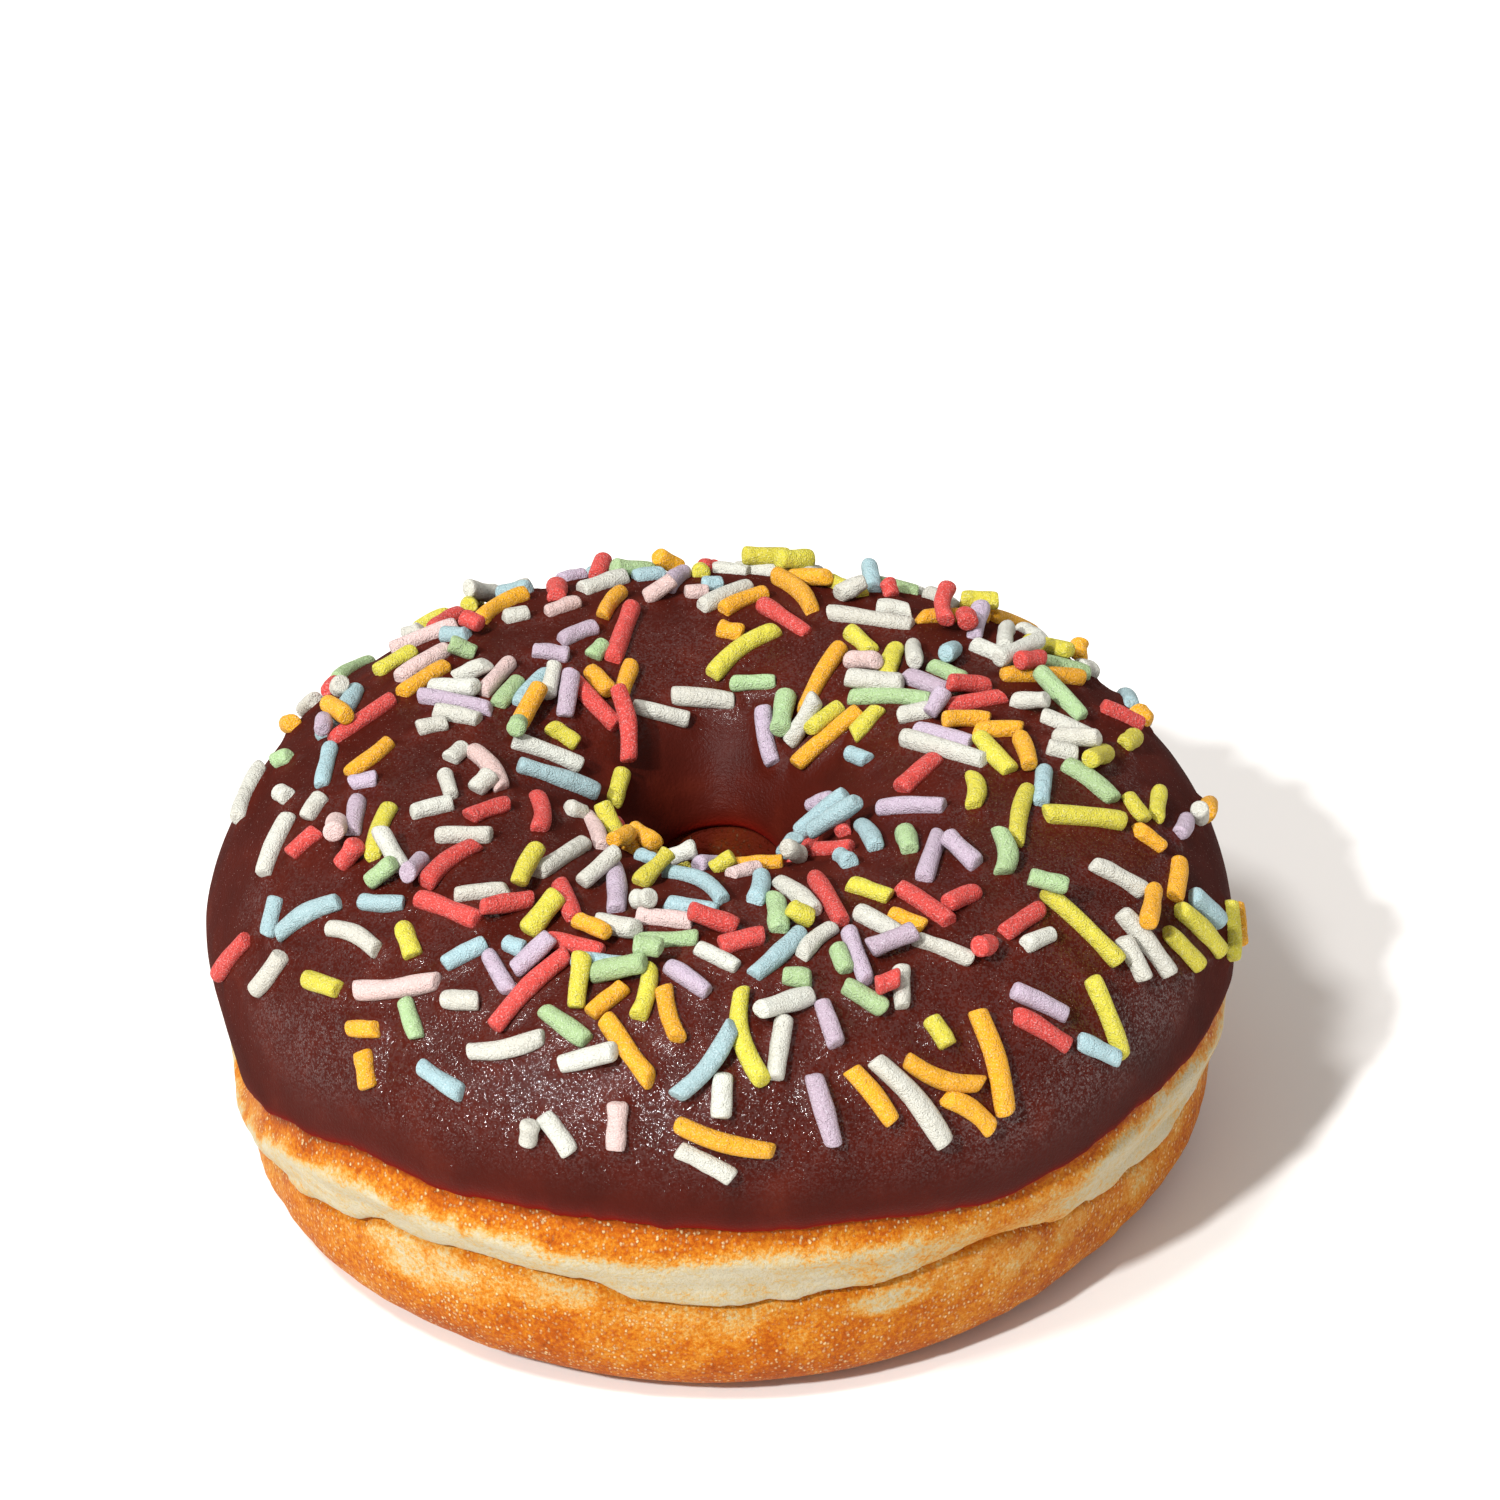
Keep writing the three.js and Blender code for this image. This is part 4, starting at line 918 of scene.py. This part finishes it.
# How much whiter the grains are: partly chalk, partly painted glints.
WHITER_IN_GRAINS_AND_GLINTS = 0.35
DEEPER_IN_HOLLOWS = np.array([0.80, 0.74, 0.70, 1])
TINTS = (0.25, 1)
SHAPE_SEED = 5150

# A rod's rings from end to end, as shares of its radius, and how far the rods differ.
ROD_PROFILE = np.array([0, 0.88, 1.05, 1.03, 1.03, 1.03, 1.05, 0.88, 0])
ROD_SIDES = 8
SHOULDERS = (0.16, 0.34)
END_ROUNDING = 0.02
MIDDLE_RINGS = 0.42
MIDDLE_RING_STRAYS = 0.1
BEND_BY_CHANCE = 0.045
BEND_CENTRED = 0.5
CURVE_OF_RING = 21
DROOP = 0.55
DROOP_CENTRED = 0.4
THICKNESS_VARIES = 0.05
THINNEST_AND_THICKEST = (0.88, 1.14)
LUMPS = 0.065
LUMPS_OF_RING = 0.06
OVALNESS = 0.07
END_SLANT = 0.2
SLANT_TURNED = 6.28
SLANT_OF_SHOULDER = 0.8
END_RAGGEDNESS = 0.07


def sprinkle_shapes():
    """Tubes round bent axes: a parabola sideways by each rod's bend and down by the ring's curve; the
    radius is full between two shoulders and closes to a point of each blunt end, with small lumps."""
    rng = np.random.default_rng(SHAPE_SEED)
    count = len(rod_lengths)
    axis = rod_finishes - rod_starts
    axis /= np.linalg.norm(axis, axis=1, keepdims=True)
    middle = (rod_starts + rod_finishes) / 2
    side = np.cross(rod_outwards, axis)
    side /= np.linalg.norm(side, axis=1, keepdims=True)
    up = np.cross(axis, side)
    half = rod_lengths / 2
    chance_bends = rng.normal(0, BEND_BY_CHANCE, count) * rod_lengths
    bend = np.where(np.isnan(rod_bends), chance_bends, rod_bends)
    droop = np.where(rod_raises > 0, 0, DROOP * half**2 / (2 * CURVE_OF_RING))

    shoulder = rng.uniform(*SHOULDERS, (count, 2))
    stray = rng.uniform(-MIDDLE_RING_STRAYS, MIDDLE_RING_STRAYS, count)
    along = np.stack([
        -half, -half + END_ROUNDING, -half + shoulder[:, 0],
        -MIDDLE_RINGS * half, stray * half, MIDDLE_RINGS * half,
        half - shoulder[:, 1], half - END_ROUNDING, half,
    ], 1)
    t = along / half[:, None]
    sideways = bend[:, None] * (1 - t * t - BEND_CENTRED)
    lift = droop[:, None] * (DROOP_CENTRED - t * t)
    centre = (
        middle[:, None] + axis[:, None] * along[..., None]
        + side[:, None] * sideways[..., None] + up[:, None] * lift[..., None]
    )
    thick = SPRINKLE_RADIUS * rng.normal(1, THICKNESS_VARIES, count).clip(*THINNEST_AND_THICKEST)
    turn = whole_turn(ROD_SIDES) + rng.uniform(0, 2 * np.pi, (count, 1))
    lumps = rng.normal(0, LUMPS, (count, len(ROD_PROFILE), ROD_SIDES))
    lumps += rng.normal(0, LUMPS_OF_RING, (count, len(ROD_PROFILE), 1))
    radius = thick[:, None, None] * ROD_PROFILE[None, :, None] * (1 + lumps)
    oval = 1 + rng.uniform(-OVALNESS, OVALNESS, (count, 1, 1))
    cos_turn = np.cos(turn)[:, None, :] * radius * oval
    sin_turn = np.sin(turn)[:, None, :] * radius / oval
    shell = (
        centre[:, :, None]
        + side[:, None, None] * cos_turn[..., None]
        + up[:, None, None] * sin_turn[..., None]
    )
    slant = rng.normal(0, END_SLANT, (count, 2, 1))
    slant = slant * np.cos(turn + rng.uniform(0, SLANT_TURNED, (count, 1)))[:, None]
    broken = slant + rng.normal(0, END_RAGGEDNESS, (count, 2, ROD_SIDES))
    shoulder_slant = SLANT_OF_SHOULDER * slant
    for ring, moved in (
        (1, broken[:, 0]), (2, shoulder_slant[:, 0]), (-3, shoulder_slant[:, 1]), (-2, broken[:, 1])
    ):
        shell[:, ring] += axis[:, None] * moved[..., None]
    return shell


def rod_faces():
    """Quads between the rings of one tube and triangles round its two end points."""
    gaps = len(ROD_PROFILE) - 3
    body = (gaps + 1) * ROD_SIDES
    around = [(k, (k + 1) % ROD_SIDES) for k in range(ROD_SIDES)]
    faces = [(body, b, a) for a, b in around]
    for low in range(0, gaps * ROD_SIDES, ROD_SIDES):
        high = low + ROD_SIDES
        faces += [(low + a, low + b, high + b, high + a) for a, b in around]
    last = gaps * ROD_SIDES
    return faces + [(last + a, last + b, body + 1) for a, b in around]


def pressed_sugar(name, colour):
    """Pressed sugar paste: matt and chalky, coloured right through but paler in its grains, partly chalk
    and partly painted glints, and a little translucent, with a fine sandy skin. The grains are drawn
    coarser than starch and sugar powder are, so that they show."""
    material, node, place = start_material(f"pressed_sugar_{name}")
    tint = node("Attribute", attribute_name="tint").outputs["Fac"]
    chalk = node("TexNoise", {"Vector": place, "Scale": per_metre(0.16), "Roughness": 0.6})
    blotch = node("TexNoise", {"Vector": place, "Scale": per_metre(1.0), "Detail": 3.0, "Roughness": 0.6})
    base = np.array(linear(colour))
    whiter_grains_and_glints = (base + (1 - base) * WHITER_IN_GRAINS_AND_GLINTS).tolist()
    deeper = (base * DEEPER_IN_HOLLOWS).tolist()
    shade = node("Mix", {0: tint, 6: deeper, 7: base.tolist()}, data_type="RGBA")
    blotched = node("MapRange", {"Value": blotch, "From Min": 0.35, "From Max": 0.7, "To Max": 0.35})
    mottled = node("Mix", {0: blotched, 6: shade.outputs[2], 7: deeper}, data_type="RGBA")
    # Whiter grains: partly chalk, partly painted glints.
    chalk_and_glint_share = node("MapRange", {"Value": chalk, "From Min": 0.52, "From Max": 0.72, "To Max": 0.7})
    chalk_and_glint_coloured = node("Mix", {0: chalk_and_glint_share, 6: mottled.outputs[2], 7: whiter_grains_and_glints}, data_type="RGBA")
    sandy = node("Bump", {"Strength": 0.9, "Distance": 0.0003, "Height": chalk})
    lumpy = node("Bump", {"Strength": 0.55, "Distance": 0.0006, "Height": blotch, "Normal": sandy})
    shader = node(
        "BsdfPrincipled",
        {"Base Color": chalk_and_glint_coloured.outputs[2], "Roughness": 0.78, "IOR": 1.5, "Specular IOR Level": 0.3,
         "Subsurface Weight": 0.1, "Subsurface Radius": (0.001, 0.001, 0.001), "Subsurface Scale": 0.4,
         "Normal": lumpy},
    )
    node("OutputMaterial", {"Surface": shader})
    return material


def sprinkle_colours():
    """The colour listed for each that was laid, and for the rest a draw by each colour's share."""
    rng = np.random.default_rng(SHAPE_SEED + 1)
    shares = np.array([share for share, _ in SPRINKLE_COLOURS.values()])
    drawn = rng.choice(list(SPRINKLE_COLOURS), len(rod_lengths), p=shares / shares.sum())
    return np.array([named or chance for named, chance in zip(rod_named_colours, drawn)])


rod_shells = sprinkle_shapes()
rod_colours = sprinkle_colours()
rod_tints = np.random.default_rng(SHAPE_SEED + 2).uniform(*TINTS, len(rod_lengths))
one_rod = rod_faces()
for colour_name, (_, colour) in SPRINKLE_COLOURS.items():
    mine = np.flatnonzero(rod_colours == colour_name)
    tubes = rod_shells[mine]
    body_points = tubes[:, 1:-1].reshape(len(mine), -1, 3)
    points = np.concatenate([body_points, tubes[:, :1, 0], tubes[:, -1:, 0]], axis=1)
    per_rod = points.shape[1]
    faces = [tuple(k + n * per_rod for k in face) for n in range(len(mine)) for face in one_rod]
    mesh = bpy.data.meshes.new(f"sprinkles_{colour_name}")
    mesh.from_pydata((points.reshape(-1, 3) * MILLIMETRE).tolist(), [], faces)
    mesh.shade_smooth()
    tint = mesh.attributes.new("tint", "FLOAT", "POINT")
    tint.data.foreach_set("value", np.repeat(rod_tints[mine], per_rod).astype(np.float32))
    sprinkles = add_piece(f"sprinkles_{colour_name}", mesh, pressed_sugar(colour_name, colour))
    smoothing = sprinkles.modifiers.new("rounding", "SUBSURF")
    smoothing.levels = 1
    smoothing.render_levels = 1
    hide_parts("chocolate_frosting")
    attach(sprinkles, "root")

# ======== The table, the light and the camera ========
# A plain white table top, a key light from the front left that leaves a slightly soft edge to the
# shadow, a small soft box higher up, and a warm white room. The camera looks down from the front.

TABLE_SIZE = 3.0
TABLE_COLOUR = "#f4f2ef"
KEY_TURN = 37
KEY_HEIGHT = 42
KEY_STRENGTH = 3.0
KEY_SPREAD = 3.5
ROOM_COLOUR = "#fffaf6"
ROOM_STRENGTH = 0.52
SOFT_BOX_TURN = 44
SOFT_BOX_HEIGHT = 60
SOFT_BOX_DISTANCE = 0.9
SOFT_BOX_SIZE = 0.12
SOFT_BOX_POWER = 4.7

CAMERA_HEIGHT = 35.4
CAMERA_DISTANCE = 0.650
CAMERA_TARGET = Vector((0, 0, 0.018))
FRAME_PIXELS = 1500
FOCAL_PIXELS = 6970
TARGET_PIXEL = (712, 960.5)
SENSOR_WIDTH = 36
NEAREST_SEEN = 0.05


def toward(turn, height):
    """The direction to a light: turned to the left from straight in front, and raised, in degrees."""
    turn, height = math.radians(turn), math.radians(height)
    return Vector((
        -math.sin(turn) * math.cos(height), -math.cos(turn) * math.cos(height), math.sin(height)
    ))


def table():
    """A square top at the height on which the ring rests."""
    h = TABLE_SIZE / 2
    mesh = bpy.data.meshes.new("table_top")
    mesh.from_pydata([(-h, -h, 0), (h, -h, 0), (h, h, 0), (-h, h, 0)], [], [(0, 1, 2, 3)])
    material = bpy.data.materials.new("white_table_top")
    material.use_nodes = True
    shader = material.node_tree.nodes["Principled BSDF"]
    shader.inputs["Base Color"].default_value = linear(TABLE_COLOUR)
    shader.inputs["Roughness"].default_value = 0.9
    shader.inputs["Specular IOR Level"].default_value = 0.1
    top = add_piece("table_top", mesh, material)


def lights():
    """A sun a few degrees wide as the key, a square soft box for the sheen, and the room all round."""
    key = bpy.data.lights.new("key", "SUN")
    key.energy = KEY_STRENGTH
    key.angle = math.radians(KEY_SPREAD)
    key_direction = toward(KEY_TURN, KEY_HEIGHT)
    box = bpy.data.lights.new("soft_box", "AREA")
    box.energy = SOFT_BOX_POWER
    box.size = SOFT_BOX_SIZE
    box_direction = toward(SOFT_BOX_TURN, SOFT_BOX_HEIGHT)
    box_place = CAMERA_TARGET + box_direction * SOFT_BOX_DISTANCE
    for light, direction, place in ((key, key_direction, (0, 0, 0)), (box, box_direction, box_place)):
        lamp = bpy.data.objects.new(light.name, light)
        lamp.location = place
        lamp.rotation_euler = direction.to_track_quat("Z", "Y").to_euler()
        bpy.context.scene.collection.objects.link(lamp)
    world = bpy.data.worlds.new("room")
    bpy.context.scene.world = world
    world.use_nodes = True
    background = world.node_tree.nodes["Background"]
    background.inputs["Color"].default_value = linear(ROOM_COLOUR)
    background.inputs["Strength"].default_value = ROOM_STRENGTH


def camera():
    """Looks down from in front. It is turned off the target so that the target falls on its pixel."""
    lens = bpy.data.cameras.new("camera")
    lens.sensor_width = SENSOR_WIDTH
    lens.lens = FOCAL_PIXELS / FRAME_PIXELS * SENSOR_WIDTH
    lens.clip_start = NEAREST_SEEN
    view = bpy.data.objects.new("camera", lens)
    view.location = CAMERA_TARGET + toward(0, CAMERA_HEIGHT) * CAMERA_DISTANCE
    right_of_centre = math.atan((TARGET_PIXEL[0] - FRAME_PIXELS / 2) / FOCAL_PIXELS)
    below_centre = math.atan((TARGET_PIXEL[1] - FRAME_PIXELS / 2) / FOCAL_PIXELS)
    pitch = math.pi / 2 - math.radians(CAMERA_HEIGHT) + below_centre
    view.rotation_euler = (pitch, 0, right_of_centre)
    bpy.context.scene.collection.objects.link(view)
    bpy.context.scene.camera = view


table()
lights()
camera()
bpy.context.scene.view_settings.view_transform = "Standard"
